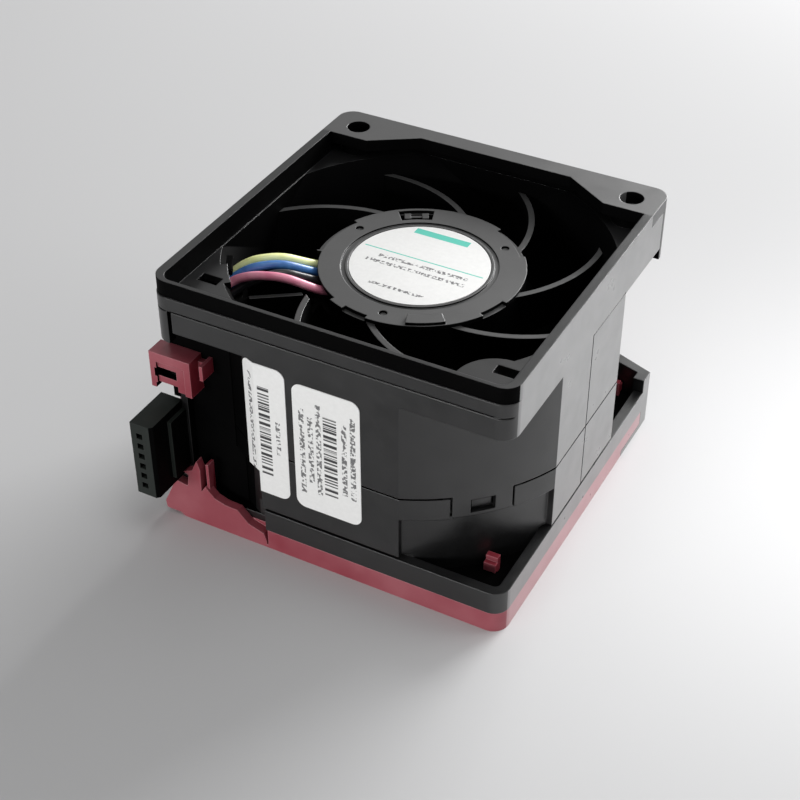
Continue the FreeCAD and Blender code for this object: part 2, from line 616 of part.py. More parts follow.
def hook_post(x, y, gap, lip):
    """Upright post through the tray floor, with a lip that grips the floor's top."""
    length, width = HOOK_SIZE
    toward = math.copysign(1.0, y)
    top = TRAY_FLOOR + HOOK_RISE
    post = box(
        (x - length / 2 - gap, x + length / 2 + gap), (y - width / 2 - gap, y + width / 2 + gap),
        (BEZEL_HEIGHT - 0.5, top),
    )
    if lip == 0.0:
        return post
    y_out = sorted((y, y + toward * (width / 2 + lip)))
    return post.fuse(box((x - length / 2, x + length / 2), y_out, (TRAY_FLOOR + 0.1, top - 0.9)))


def gusset():
    """Stepped web beside the plug that stands up from the carrier frame."""
    steps = [
        (-1.3, 0.6), (-1.5, 2.0), (1.0, 7.5), (3.3, 7.1), (3.7, 9.5), (2.8, 10.0), (4.5, 10.8),
        (5.5, 13.1), (6.1, 11.4), (6.0, 6.9), (6.8, 8.2), (8.5, 6.4), (10.5, 5.8), (12.8, 5.7),
        (14.8, 3.6), (17.6, 2.7), (GUSSET_LENGTH, 1.2), (GUSSET_LENGTH, 0.6),
    ]
    plate = side_plate([(-HALF + along, z) for along, z in steps], (-HALF, -HALF + GUSSET_WALL))
    ridge_x = (-HALF + GUSSET_RIDGE, -HALF + GUSSET_RIDGE + 0.5)
    ridge = box(ridge_x, (-HALF + 0.5, -HALF + GUSSET_WALL + 0.7), (6.0, 12.6))
    return plate.fuse(ridge)


def carrier_frame():
    """Maroon frame under the tray, with hooks up through its floor and the gusset at the plug."""
    block = rounded_box((-HALF, HALF), (-HALF, RAIL_SIDE_Y), (0, BEZEL_HEIGHT), FRAME_CORNER)
    frame = block.cut(cylinder(BORE_RADIUS, (-1, BEZEL_HEIGHT + 1)))
    gusset_top = box((-HALF - 1, GUSSET_END + 0.3), (-HALF - 1, -HALF + GUSSET_WALL), (0.6, BEZEL_HEIGHT + 1))
    frame = frame.cut(gusset_top).fuse(gusset())
    rail = prism([(-HALF - 1, RAIL_START), (HALF + 1, RAIL_START), (HALF + 1, 40), (-HALF - 1, 40)], (-1, 9))
    rail = rail.cut(prism(rail_outline(RAIL_WALL + SEAT_GAP), (-1, 9)))
    frame = frame.cut(rail)
    side = HALF - FOOT_WIDTH - SEAT_GAP
    foot_room = box((side, HALF + 1), (FOOT_START - SEAT_GAP, HALF + 1), (-1, FOOT_HEIGHT + SEAT_GAP))
    frame = frame.cut(foot_room).cut(mirror_x(foot_room))
    ledge_room = box((side, HALF + 1), (RAIL_START - SEAT_GAP, HALF + 1), (-1, BEZEL_HEIGHT + 1))
    frame = frame.cut(ledge_room).cut(mirror_x(ledge_room))
    hooks = [hook_post(x, y, 0.0, HOOK_LIP) for x, y in hook_places()]
    return fuse_all([frame] + hooks).cut(inlet_guard_room())


def inlet_guard_room():
    return cylinder(BORE_RADIUS + GUARD_SEAT, (GUARD_Z[0], GUARD_Z[1] + SEAT_GAP))


def inlet_guard():
    """Finger guard in the inlet: concentric rings on spokes, seated in the frame's groove."""
    z = (GUARD_Z[0] + SEAT_GAP, GUARD_Z[1])
    half = GUARD_BAR / 2
    hub = BORE_RADIUS - GUARD_RINGS * GUARD_PITCH
    pieces = [ring(BORE_RADIUS + GUARD_SEAT - SEAT_GAP, BORE_RADIUS - GUARD_RIM, z)]
    for index in range(1, GUARD_RINGS + 1):
        radius = BORE_RADIUS - index * GUARD_PITCH
        pieces.append(ring(radius + half, radius - half, z))
    outer_spoke = box((hub, BORE_RADIUS), (-half, half), z)
    inner_spoke = box((0, hub), (-half, half), z)
    pieces += [turn(outer_spoke, 45 + 90 * index) for index in range(4)]
    pieces += [turn(inner_spoke, 90 * index) for index in range(4)]
    pieces.append(cylinder(GUARD_CENTRE, z))
    return fuse_all(pieces)


# ---- fixed vane frame, cover and label ---------------------------------------------------------------------------------
def vane_profile(z, lean):
    """Closed outline of one curved vane at a height, from inside the hub wall to past the liner."""
    inner = HUB_RADIUS - HUB_WALL / 2
    outer = FLARE_RADIUS + 1.0
    sweep_rate = VANE_SWEEP / (BORE_RADIUS - HUB_RADIUS)

    def point(radius, side):
        angle = math.radians((radius - HUB_RADIUS) * sweep_rate + lean)
        offset = side * VANE_THICKNESS / 2
        direction = angle + math.radians(40)
        x = radius * math.cos(angle) - offset * math.sin(direction)
        y = radius * math.sin(angle) + offset * math.cos(direction)
        return vec(x, y, z)

    middle = (inner + outer) / 2
    edges = [
        Part.Arc(point(inner, 1), point(middle, 1), point(outer, 1)).toShape(),
        Part.makeLine(point(outer, 1), point(outer, -1)),
        Part.Arc(point(outer, -1), point(middle, -1), point(inner, -1)).toShape(),
        Part.makeLine(point(inner, -1), point(inner, 1)),
    ]
    return Part.Wire(edges)


def vane():
    return Part.makeLoft([vane_profile(VANE_BOTTOM, VANE_LEAN), vane_profile(HUB_RIM, 0.0)], True, True)


def wire_strut():
    """Broad radial strut under the wires."""
    half = STRUT_WIDTH / 2
    strut = box((HUB_RADIUS - HUB_WALL / 2, FLARE_RADIUS), (-half, half), (VANE_BOTTOM, HUB_RIM - 1.2))
    channel = box((0, FLARE_RADIUS + 1), (-half + 0.8, half - 0.8), (VANE_BOTTOM + 3, HUB_RIM))
    return turn(strut.cut(channel), 215)


def stator_frame():
    flow = air_passage().fuse(cylinder(LINER_RADIUS, (SEAM, FLARE_BOTTOM)))
    vanes = []
    for index in range(VANE_COUNT):
        if index != WIRE_VANE:
            vanes.append(turn(vane(), VANE_PHASE + index * 360 / VANE_COUNT))
    arms = fuse_all(vanes + [wire_strut()]).common(flow)
    liner = ring(LINER_RADIUS, BORE_RADIUS, (SEAM, FLARE_BOTTOM))
    wall = ring(HUB_RADIUS, HUB_RADIUS - HUB_WALL, (HUB_BOTTOM, HUB_RIM))
    floor = ring(HUB_RADIUS, TUBE_RADIUS, HUB_FLOOR)
    frame = fuse_all([liner, wall, floor, arms])
    frame = frame.cut(sector(HUB_RADIUS + 2.2, HUB_RADIUS - HUB_WALL - 1, WIRE_GAP_SPAN, (HUB_FLOOR[1], HUB_RIM + 1)))
    return frame.cut(wire_way()).fuse(cover_clip())


def cover_clip():
    """H-shaped snap that stands up from the hub floor in the cover's window."""
    middle = (CLIP_SPAN[0] + CLIP_SPAN[1]) / 2
    post = box((PIN_CIRCLE - 0.4, PIN_CIRCLE + 1.2), (-2.0, -0.9), (HUB_FLOOR[1], COVER_TOP - 0.2))
    bar = box((PIN_CIRCLE + 0.1, PIN_CIRCLE + 0.7), (-1.2, 1.2), (HUB_FLOOR[1], COVER_TOP - 0.35))
    other = post.mirror(vec(0, 0, 0), vec(0, 1, 0))
    return turn(fuse_all([post, other, bar]), middle)


def motor_cover():
    """Cap on the hub: stepped outline, seat for the label, window, raised pad and wire gap."""
    cap = cylinder(HUB_RADIUS, (HUB_RIM, COVER_TOP))
    for notch in COVER_NOTCHES:
        cap = cap.cut(sector(HUB_RADIUS + 1, HUB_RADIUS - COVER_STEP, notch, (HUB_RIM - 1, COVER_TOP + 1)))
    skirt_outer = HUB_RADIUS - HUB_WALL - SEAT_GAP
    skirt = ring(skirt_outer, PIN_CIRCLE + PIN_RADIUS + 3 * SEAT_GAP, (HUB_FLOOR[1], HUB_RIM))
    pad = sector(HUB_RADIUS - 0.2, PIN_CIRCLE, PAD_SPAN, (COVER_TOP, COVER_TOP + 0.5))
    cap = fuse_all([cap, skirt, pad])
    seat = COVER_TOP - LABEL_THICKNESS
    cap = cap.cut(cylinder(LABEL_RADIUS + 0.15, (seat, COVER_TOP + 1)))
    cap = cap.cut(ring(LABEL_RADIUS + 1.3, LABEL_RADIUS + 0.6, (COVER_TOP - 0.25, COVER_TOP + 1)))
    cap = cap.cut(sector(HUB_RADIUS - 0.6, PIN_CIRCLE - 1.0, CLIP_SPAN, (HUB_FLOOR[1], COVER_TOP + 1)))
    cap = cap.cut(sector(HUB_RADIUS + 1, WIRE_GAP_START, WIRE_GAP_SPAN, (HUB_FLOOR[1], HUB_RIM)))
    for angle in COVER_PINS:
        cap = cap.cut(turn(cylinder(PIN_RADIUS + 0.1, (HUB_RIM - 1, COVER_TOP + 1), (PIN_CIRCLE, 0)), angle))
    return cap


def cover_pins():
    """Three moulded pins from the hub floor through the cover."""
    pins = []
    for angle in COVER_PINS:
        pins.append(turn(cylinder(PIN_RADIUS, (HUB_FLOOR[1], COVER_TOP - 0.3), (PIN_CIRCLE, 0)), angle))
    return Part.makeCompound(pins)


def hub_label():
    return cylinder(LABEL_RADIUS, (COVER_TOP - LABEL_THICKNESS, COVER_TOP))


def front_label(index):
    """Thin sticker that lies on the front flat and follows the barrel's corner."""
    start = -HALF + LABEL_START[index]
    z = (TRAY_TOP + LABEL_BOTTOM, SKIRT_BOTTOM - LABEL_DROP[index])
    low = max(z[0], BAND_BOTTOM)
    skin = barrel((low, z[1]), BARREL_RADIUS + LABEL_THICKNESS, HALF + LABEL_THICKNESS).cut(barrel((low, z[1])))
    flat = box((-FLAT_HALF, FLAT_HALF), (-HALF - LABEL_THICKNESS, -HALF), z)
    sheet = box((start, start + LABEL_WIDTH[index]), (-HALF - 1, -HALF / 2), z)
    sheet = sheet.makeFillet(LABEL_CORNER, edges_along(sheet, vec(0, 1, 0)))
    return skin.fuse(flat).removeSplitter().common(sheet)


# ---- motor ---------------------------------------------------------------------------------------------------------------
def bearing_tube():
    bottom = LOWER_BEARING_Z - 0.8
    tube = ring(TUBE_RADIUS, BEARING_RADIUS, (bottom, HUB_FLOOR[1]))
    lip = ring(BEARING_RADIUS + 0.1, BEARING_RADIUS - 0.8, (bottom, LOWER_BEARING_Z))
    shoulder = ring(BEARING_RADIUS + 0.1, BEARING_RADIUS - 0.8, (UPPER_BEARING_Z - 1.0, UPPER_BEARING_Z))
    return fuse_all([tube, lip, shoulder])


def bearing(bottom):
    """Ball bearing drawn as one ring with its seal grooves."""
    body = ring(BEARING_RADIUS, BEARING_BORE, (bottom, bottom + BEARING_HEIGHT))
    for z in (bottom - 1.0 + 0.2, bottom + BEARING_HEIGHT - 0.2):
        body = body.cut(ring(BEARING_RADIUS - 0.7, BEARING_BORE + 0.7, (z, z + 1.0)))
    return body


def preload_spring():
    low = LOWER_BEARING_Z + BEARING_HEIGHT
    return ring(BEARING_RADIUS - 0.1, BEARING_RADIUS - 1.2, (low, low + 0.6))


def stator_core():
    """Laminated core: hub ring, teeth and pole shoes."""
    half = TOOTH_WIDTH / 2
    hub = ring(TUBE_RADIUS + TOOTH_WIDTH, TUBE_RADIUS, CORE_Z)
    reach = (TUBE_RADIUS + TOOTH_WIDTH - 0.3, CORE_RADIUS - 1.0)
    pole = 360 / TOOTH_COUNT
    teeth = []
    for index in range(TOOTH_COUNT):
        tooth = box(reach, (-half, half), CORE_Z)
        shoe = sector(CORE_RADIUS, CORE_RADIUS - SHOE_THICKNESS, (-0.4 * pole, 0.4 * pole), CORE_Z)
        teeth.append(turn(tooth.fuse(shoe), index * pole))
    return fuse_all([hub] + teeth)


def coil_insulator():
    """Two end caps that keep the windings off the core."""
    half = TOOTH_WIDTH / 2
    caps = []
    for z in ((CORE_Z[0] - INSULATOR_THICKNESS, CORE_Z[0]), (CORE_Z[1], CORE_Z[1] + INSULATOR_THICKNESS)):
        caps.append(ring(TUBE_RADIUS + TOOTH_WIDTH, TUBE_RADIUS, z))
        for index in range(TOOTH_COUNT):
            arm = box((TUBE_RADIUS + TOOTH_WIDTH - 0.3, CORE_RADIUS - 0.4), (-half, half), z)
            caps.append(turn(arm, index * 360 / TOOTH_COUNT))
    return fuse_all(caps)


def windings():
    """One coil round each tooth."""
    half = TOOTH_WIDTH / 2
    low = CORE_Z[0] - INSULATOR_THICKNESS
    high = CORE_Z[1] + INSULATOR_THICKNESS
    reach = (TUBE_RADIUS + TOOTH_WIDTH + 0.6, CORE_RADIUS - SHOE_THICKNESS - 0.3)
    coils = []
    for index in range(TOOTH_COUNT):
        across = half + COIL_THICKNESS
        outer = box(reach, (-across, across), (low - COIL_THICKNESS, high + COIL_THICKNESS))
        coil = outer.cut(box(reach, (-half, half), (low, high)))
        coils.append(turn(coil, index * 360 / TOOTH_COUNT))
    return Part.makeCompound(coils)


def driver_board():
    radius = HUB_RADIUS - HUB_WALL - BOARD_GAP
    return ring(radius, TUBE_RADIUS + BOARD_GAP, (BOARD_BOTTOM, BOARD_TOP))


def board_chips():
    """Motor driver, switches and the rotor sensor under the board."""
    places = [(7.3, 20, 5.0, 1.2), (5.3, 95, 3.2, 1.0), (5.3, 150, 3.2, 1.0), (4.2, 250, 1.8, 3.4)]
    chips = []
    for inset, angle, size, drop in places:
        radius = HUB_RADIUS - inset
        half = size / 2
        chip = box((radius - half, radius + half), (-half, half), (BOARD_BOTTOM - drop, BOARD_BOTTOM))
        chips.append(turn(chip, angle))
    return Part.makeCompound(chips)


def capacitor():
    return cylinder(CAPACITOR_RADIUS, (BOARD_BOTTOM - CAPACITOR_HEIGHT, BOARD_BOTTOM), (0.0, -HUB_RADIUS + 6.3))


# ---- rotor ------------------------------------------------------------------------------------------------------------------
def blade_section(radius):
    """Cambered closed outline on the plane that touches the cylinder of this radius."""
    share = (radius - IMPELLER_HUB_RADIUS) / (TIP_RADIUS - IMPELLER_HUB_RADIUS)
    low, high = BLADE_SPAN_Z
    half_width = BLADE_COVER * math.pi * radius / BLADE_COUNT
    thickness = BLADE_ROOT_THICKNESS + share * (BLADE_TIP_THICKNESS - BLADE_ROOT_THICKNESS)
    start = vec(radius, -half_width, low)
    end = vec(radius, half_width, high)
    chord = end - start
    across = vec(0, -chord.z, chord.y).normalize()
    middle = (start + end) * 0.5
    upper = middle + across * (BLADE_CAMBER + thickness / 2)
    lower = middle + across * (BLADE_CAMBER - thickness / 2)
    edges = [Part.Arc(start, upper, end).toShape(), Part.Arc(end, lower, start).toShape()]
    section = Part.Wire(edges)
    section.rotate(vec(0, 0, 0), vec(0, 0, 1), BLADE_SWEEP * share * share)
    return section


def blade():
    step = (TIP_RADIUS - IMPELLER_HUB_RADIUS) / 3
    root = IMPELLER_HUB_RADIUS - IMPELLER_HUB_WALL * 0.6
    radii = [root, IMPELLER_HUB_RADIUS + step, IMPELLER_HUB_RADIUS + 2 * step, TIP_RADIUS + 1.0]
    body = Part.makeLoft([blade_section(radius) for radius in radii], True, False)
    low, high = BLADE_SPAN_Z
    return body.common(ring(TIP_RADIUS, root, (low, high)))


def impeller():
    low, high = IMPELLER_HUB
    shell = cylinder(IMPELLER_HUB_RADIUS, (low, high))
    nose = [edge for edge in shell.Edges if abs(edge.BoundBox.ZMax - low) < 0.01]
    shell = shell.makeFillet(2.5, nose).cut(cylinder(YOKE_RADIUS, (YOKE_FLOOR, high + 1)))
    first = blade()
    blades = [turn(first, index * 360 / BLADE_COUNT) for index in range(BLADE_COUNT)]
    wheel = fuse_all([shell] + blades)
    return wheel.cut(cylinder(YOKE_RADIUS, (YOKE_FLOOR, high + 1)))


def rotor_cup():
    """Steel yoke that lines the impeller hub and carries the shaft boss."""
    top = MAGNET_Z[1] + 1.2
    cup = cylinder(YOKE_RADIUS, (YOKE_FLOOR, top)).cut(cylinder(MAGNET_RADIUS, (YOKE_FLOOR + 0.8, top + 1)))
    boss = cylinder(SHAFT_RADIUS + 1.3, (YOKE_FLOOR, YOKE_FLOOR + 1.5))
    return cup.fuse(boss).cut(cylinder(SHAFT_RADIUS, (0, top + 1)))


def magnet_ring():
    return ring(MAGNET_RADIUS, MAGNET_RADIUS - MAGNET_WALL, MAGNET_Z)


def rotor_shaft():
    shaft = cylinder(SHAFT_RADIUS, (YOKE_FLOOR, SHAFT_TOP))
    groove = ring(SHAFT_RADIUS + 1, SHAFT_RADIUS - 0.3, clip_z())
    return shaft.cut(groove)


def clip_z():
    low = UPPER_BEARING_Z + BEARING_HEIGHT + 0.15
    return (low, low + 0.4)


def shaft_clip():
    """Open retaining ring in the shaft's groove, above the upper bearing."""
    clip = ring(SHAFT_RADIUS + 1.2, SHAFT_RADIUS - 0.3, clip_z())
    return clip.cut(box((0, 5), (-0.7, 0.7), (clip_z()[0] - 1, clip_z()[1] + 1)))


# ---- plug, hood and wires ------------------------------------------------------------------------------------------------------
def socket_heights():
    return [PLUG_BOTTOM + PLUG_LOWEST_WAY + index * PLUG_PITCH for index in range(PLUG_WAYS)]


def plug_housing():
    """Six-way plug body with square sockets, a chamfered front edge and wire entries behind."""
    body = box(PLUG_X, PLUG_Y, PLUG_Z)
    inner_edge = upright_edges(body, lambda point: point.x > SOCKET_X and point.y < PLUG_Y[0] + 0.01)
    body = body.makeChamfer(0.5, inner_edge)
    half = SOCKET_SIZE / 2
    for z in socket_heights():
        mouth_y = (PLUG_Y[0] - 1, PLUG_Y[0] + SOCKET_DEPTH)
        body = body.cut(box((SOCKET_X - half, SOCKET_X + half), mouth_y, (z - half, z + half)))
    rib = box((PLUG_X[1], PLUG_X[1] + 0.7), (PLUG_Y[0] + 4.2, POST_FRONT), (PLUG_Z[0] + 1.5, PLUG_Z[1] - 1.5))
    return body.fuse(rib)


def plug_contacts():
    """Six sprung contacts deep in the sockets."""
    contacts = []
    for z in socket_heights():
        start = PLUG_Y[0] + 1.4
        end = PLUG_Y[0] + SOCKET_DEPTH
        contacts.append(box((SOCKET_X + 0.2, SOCKET_X + 0.5), (start, end), (z - 0.4, z + 0.4)))
    return Part.makeCompound(contacts)


def plug_bracket():
    """Maroon hood over the plug, seated on the screen: a window, and an open slot below it."""
    low, high = HOOD_Z
    y = (-HALF, SHROUD_FRONT)
    front_y = (y[0] + HOOD_SINK, y[0] + HOOD_SINK + HOOD_WALL)
    roof = box(HOOD_X, y, (high - HOOD_ROOF, high))
    front = box(HOOD_X, front_y, (low, high))
    outer_side = box((HOOD_X[0], HOOD_X[0] + HOOD_WALL), y, (low, high))
    inner_side = box((HOOD_X[1] - HOOD_WALL, HOOD_X[1]), y, (low, high))
    rib_x = HOOD_X[1] + RIB_OFFSET
    rib = box((rib_x, rib_x + RIB_WIDTH), (front_y[0], y[1]), (high - RIB_HEIGHT, high - 0.2))
    link = box((HOOD_X[1], rib_x), (y[1] - 1.0, y[1]), (high - RIB_HEIGHT, high - 1.0))
    hood = fuse_all([roof, front, outer_side, inner_side, rib, link])
    window = box((HOOD_X[0] + 0.8, HOOD_X[0] + 4.6), (y[0] - 1, front_y[1] + 1), (low + 2.2, low + 3.8))
    slot = box((HOOD_X[0] + 0.9, HOOD_X[0] + 4.7), (y[0] - 1, y[1] + 1), (low - 1, low + 1.0))
    post_room = box((PLUG_X[1] - SEAT_GAP, PLUG_X[1] + POST_WALL + SEAT_GAP), (POST_FRONT - SEAT_GAP, y[1]),
                    (low - 1, POST_TOP + SEAT_GAP))
    return hood.cut(window).cut(slot).cut(post_room)


def wire_tube(points):
    """Round wire along straight runs joined by tangent arcs."""
    corners = [vec(*point) for point in points]
    edges = []
    radii = []
    start = corners[0]
    for before, corner, after in zip(corners, corners[1:], corners[2:]):
        into = corner - before
        out = after - corner
        turn_angle = into.getAngle(out)
        reach = 0.45 * min(into.Length, out.Length)
        radii.append(reach / math.tan(turn_angle / 2))
        arc_start = corner - into.normalize() * reach
        arc_end = corner + out.normalize() * reach
        chord_middle = (arc_start + arc_end) * 0.5
        inward = (chord_middle - corner).normalize()
        bulge = radii[-1] / math.cos(turn_angle / 2) - radii[-1]
        edges.append(Part.LineSegment(start, arc_start).toShape())
        edges.append(Part.Arc(arc_start, corner + inward * bulge, arc_end).toShape())
        start = arc_end
    edges.append(Part.LineSegment(start, corners[-1]).toShape())
    path = Part.Wire(edges)
    heading = corners[1] - corners[0]
    section = Part.Wire(Part.makeCircle(WIRE_RADIUS, corners[0], heading))
    sweep = Part.BRepOffsetAPI.MakePipeShell(path)
    sweep.add(section)
    sweep.build()
    sweep.makeSolid()
    tube = sweep.shape()
    expected = path.Length * math.pi * WIRE_RADIUS ** 2
    print("wire length", round(path.Length, 1), "smallest radius", round(min(radii), 1),
          "volume ratio", round(tube.Volume / expected, 4))
    return tube


WIRE_ROUTES = {
    "wire_yellow": [
        (-12.3, -3.4, 38.8), (-15.4, -5.3, 39.1), (-19.3, -10.1, 42.3), (-22.9, -12.9, 42.1),
        (-25.5, -14.5, 40.1), (-27.2, -17.0, 37.0), (-28.2, -19.2, 33.0), (-28.3, -20.3, 27.0),
        (-28.9, -20.5, 20.2), (-29.2, -21.9, 14.9), (-29.4, -24.9, 12.9), (-29.4, -28.0, 12.9),
    ],
    "wire_blue": [
        (-11.3, -5.3, 38.8), (-14.2, -7.2, 39.1), (-18.2, -11.8, 42.3), (-21.8, -14.6, 42.1),
        (-24.6, -16.1, 40.1), (-26.8, -18.7, 37.1), (-28.2, -21.0, 33.0), (-28.3, -21.8, 27.5),
        (-28.9, -22.0, 21.4), (-29.2, -23.1, 16.9), (-29.4, -25.4, 14.9), (-29.4, -28.0, 14.9),
    ],
    "wire_black": [
        (-10.1, -7.2, 38.8), (-13.0, -9.2, 39.1), (-17.2, -13.4, 42.0), (-20.7, -16.1, 40.9),
        (-23.7, -17.5, 38.6), (-26.0, -20.7, 35.7), (-28.0, -22.9, 32.0), (-28.3, -23.3, 26.8),
        (-28.9, -23.4, 22.4), (-29.2, -24.0, 18.9), (-29.4, -25.8, 16.9), (-29.4, -28.0, 16.9),
    ],
    "wire_red": [
        (-8.5, -9.4, 38.8), (-11.2, -11.4, 39.1), (-16.0, -15.0, 42.4), (-20.4, -16.9, 42.4),
        (-23.7, -17.7, 40.8), (-25.7, -21.7, 37.9), (-27.8, -24.2, 33.6), (-28.3, -24.8, 26.8),
        (-28.8, -24.9, 23.6), (-29.2, -25.1, 21.0), (-29.4, -26.2, 18.9), (-29.4, -28.0, 18.9),
    ],
}


# ---- release latch -----------------------------------------------------------------------------------------------------------------
def latch_pin_blank(gap):
    """Pin along X through both ears."""
    half = LATCH_WIDTH / 2 + LATCH_SIDE_GAP + EAR_WIDTH + gap
    base = vec(-half, LATCH_PIN_Y, LATCH_PIN_Z)
    return Part.makeCylinder(LATCH_PIN_RADIUS + gap, 2 * half, base, vec(1, 0, 0))


def latch_ear():
    """Ear that rises from the rear rail and holds one end of the pin."""
    inner = LATCH_WIDTH / 2 + LATCH_SIDE_GAP
    top = LATCH_PIN_Z + EAR_RISE
    ear = box((inner, inner + EAR_WIDTH), (HALF + SEAT_GAP, RAIL_BACK), (RAIL_TOP - 4.0, top))
    return ear.makeFillet(1.2, edges_along(ear, vec(1, 0, 0), lambda point: point.z > LATCH_PIN_Z))


def release_latch():
    """Lever on the pin: finger pad with ribs at the top and a catch that faces out."""
    half = LATCH_WIDTH / 2
    y = (LATCH_PIN_Y - LATCH_THICKNESS / 2, LATCH_PIN_Y + LATCH_THICKNESS / 2)
    arm = box((-half, half), y, (LATCH_PIN_Z, LATCH_TOP))
    eye = Part.makeCylinder(
        LATCH_PIN_RADIUS + LATCH_EYE_WALL, LATCH_WIDTH, vec(-half, LATCH_PIN_Y, LATCH_PIN_Z), vec(1, 0, 0)
    )
    catch_z = LATCH_TOP - 9.0
    catch = Part.Face(Part.makePolygon([
        vec(-half + 2, y[1], catch_z), vec(-half + 2, y[1] + 1.6, catch_z + 2.4),
        vec(-half + 2, y[1], catch_z + 2.4), vec(-half + 2, y[1], catch_z),
    ])).extrude(vec(LATCH_WIDTH - 4, 0, 0))
    ribs = [
        box((-half + 1, half - 1), (y[1], y[1] + 0.5), (LATCH_TOP - 1.2 - 1.3 * k, LATCH_TOP - 0.6 - 1.3 * k))
        for k in range(4)
    ]
    lever = fuse_all([arm, eye, catch] + ribs)
    lever = lever.cut(box((-2.2, 2.2), (y[0] - 2, y[1] + 2), (LATCH_PIN_Z - 3, LATCH_PIN_Z + 3)))
    lever = lever.cut(latch_pin_blank(LATCH_CLEARANCE))
    lever.rotate(vec(0, LATCH_PIN_Y, LATCH_PIN_Z), vec(1, 0, 0), -LATCH_LEAN)
    return lever


def latch_spring():
    """Torsion spring on the pin: open turns with one leg up the lever and one down on the barrel."""
    wire = SPRING_WIRE / 2
    mean = LATCH_PIN_RADIUS + LATCH_CLEARANCE + wire
    length = SPRING_TURNS * SPRING_PITCH
    helix = Part.makeHelix(SPRING_PITCH, length, mean)
    helix.rotate(vec(0, 0, 0), vec(0, 1, 0), 90)
    helix.rotate(vec(0, 0, 0), vec(1, 0, 0), -90)
    helix.translate(vec(-length / 2, LATCH_PIN_Y, LATCH_PIN_Z))
    coil = helix.Edges[0]
    start = coil.valueAt(coil.FirstParameter)
    end = coil.valueAt(coil.LastParameter)
    heading = coil.tangentAt(coil.FirstParameter)
    sweep = Part.BRepOffsetAPI.MakePipeShell(Part.Wire(helix.Edges))
    sweep.setFrenetMode(True)
    sweep.add(Part.Wire(Part.makeCircle(wire, start, heading)))
    sweep.build()
    sweep.makeSolid()
    leg_up = Part.makeCylinder(wire, SPRING_LEG, start, heading * -1)
    leg_down = Part.makeCylinder(wire, SPRING_LEG, end, heading)
    return fuse_all([sweep.shape(), leg_up, leg_down])


def build():
    os.makedirs(PARTS, exist_ok=True)
    save("lower_housing", lower_housing())
    save("upper_housing", upper_housing())
    save("stator_frame", stator_frame())
    save("motor_cover", motor_cover())
    save("cover_pins", cover_pins())
    save("hub_label", hub_label())
    save("front_label_narrow", front_label(0))
    save("front_label_wide", front_label(1))
    save("back_plate", back_plate())
    save("tray", tray())
    save("rear_rail", rear_rail())
    save("carrier_frame", carrier_frame())
    save("inlet_guard", inlet_guard())
    save("plug_housing", plug_housing())
    save("plug_contacts", plug_contacts())
    save("plug_bracket", plug_bracket())
    save("bearing_tube", bearing_tube())
    save("bearing_lower", bearing(LOWER_BEARING_Z))
    save("bearing_upper", bearing(UPPER_BEARING_Z))
    save("preload_spring", preload_spring())
    save("stator_core", stator_core())
    save("coil_insulator", coil_insulator())
    save("windings", windings())
    save("driver_board", driver_board())
    save("board_chips", board_chips())
    save("capacitor", capacitor())
    save("impeller", impeller())
    save("rotor_cup", rotor_cup())
    save("magnet_ring", magnet_ring())
    save("rotor_shaft", rotor_shaft())
    save("shaft_clip", shaft_clip())
    save("release_latch", release_latch())
    save("latch_pin", latch_pin_blank(0.0))
    save("latch_spring", latch_spring())
    for name, route in WIRE_ROUTES.items():
        save(name, wire_tube(route))


build()
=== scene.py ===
import math
import bpy
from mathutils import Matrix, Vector

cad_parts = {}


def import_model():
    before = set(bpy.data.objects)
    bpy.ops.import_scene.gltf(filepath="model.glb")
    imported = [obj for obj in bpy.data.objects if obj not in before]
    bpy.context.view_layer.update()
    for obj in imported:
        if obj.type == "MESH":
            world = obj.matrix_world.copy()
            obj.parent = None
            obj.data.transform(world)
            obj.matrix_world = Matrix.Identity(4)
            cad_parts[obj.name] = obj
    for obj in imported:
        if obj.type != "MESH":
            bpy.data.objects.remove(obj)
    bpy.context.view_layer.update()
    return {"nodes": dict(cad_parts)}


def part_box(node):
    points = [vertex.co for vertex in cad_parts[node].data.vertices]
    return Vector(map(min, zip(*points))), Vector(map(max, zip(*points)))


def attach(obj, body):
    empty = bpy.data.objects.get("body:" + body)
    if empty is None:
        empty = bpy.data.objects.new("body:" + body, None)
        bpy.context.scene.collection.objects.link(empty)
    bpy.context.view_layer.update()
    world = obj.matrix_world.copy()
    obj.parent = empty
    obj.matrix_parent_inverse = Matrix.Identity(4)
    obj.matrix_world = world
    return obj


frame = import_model()
NODES = frame["nodes"]


MM = 0.001

# ---- shader helper -----------------------------------------------------------------------------

BEVEL_SAMPLES = 6


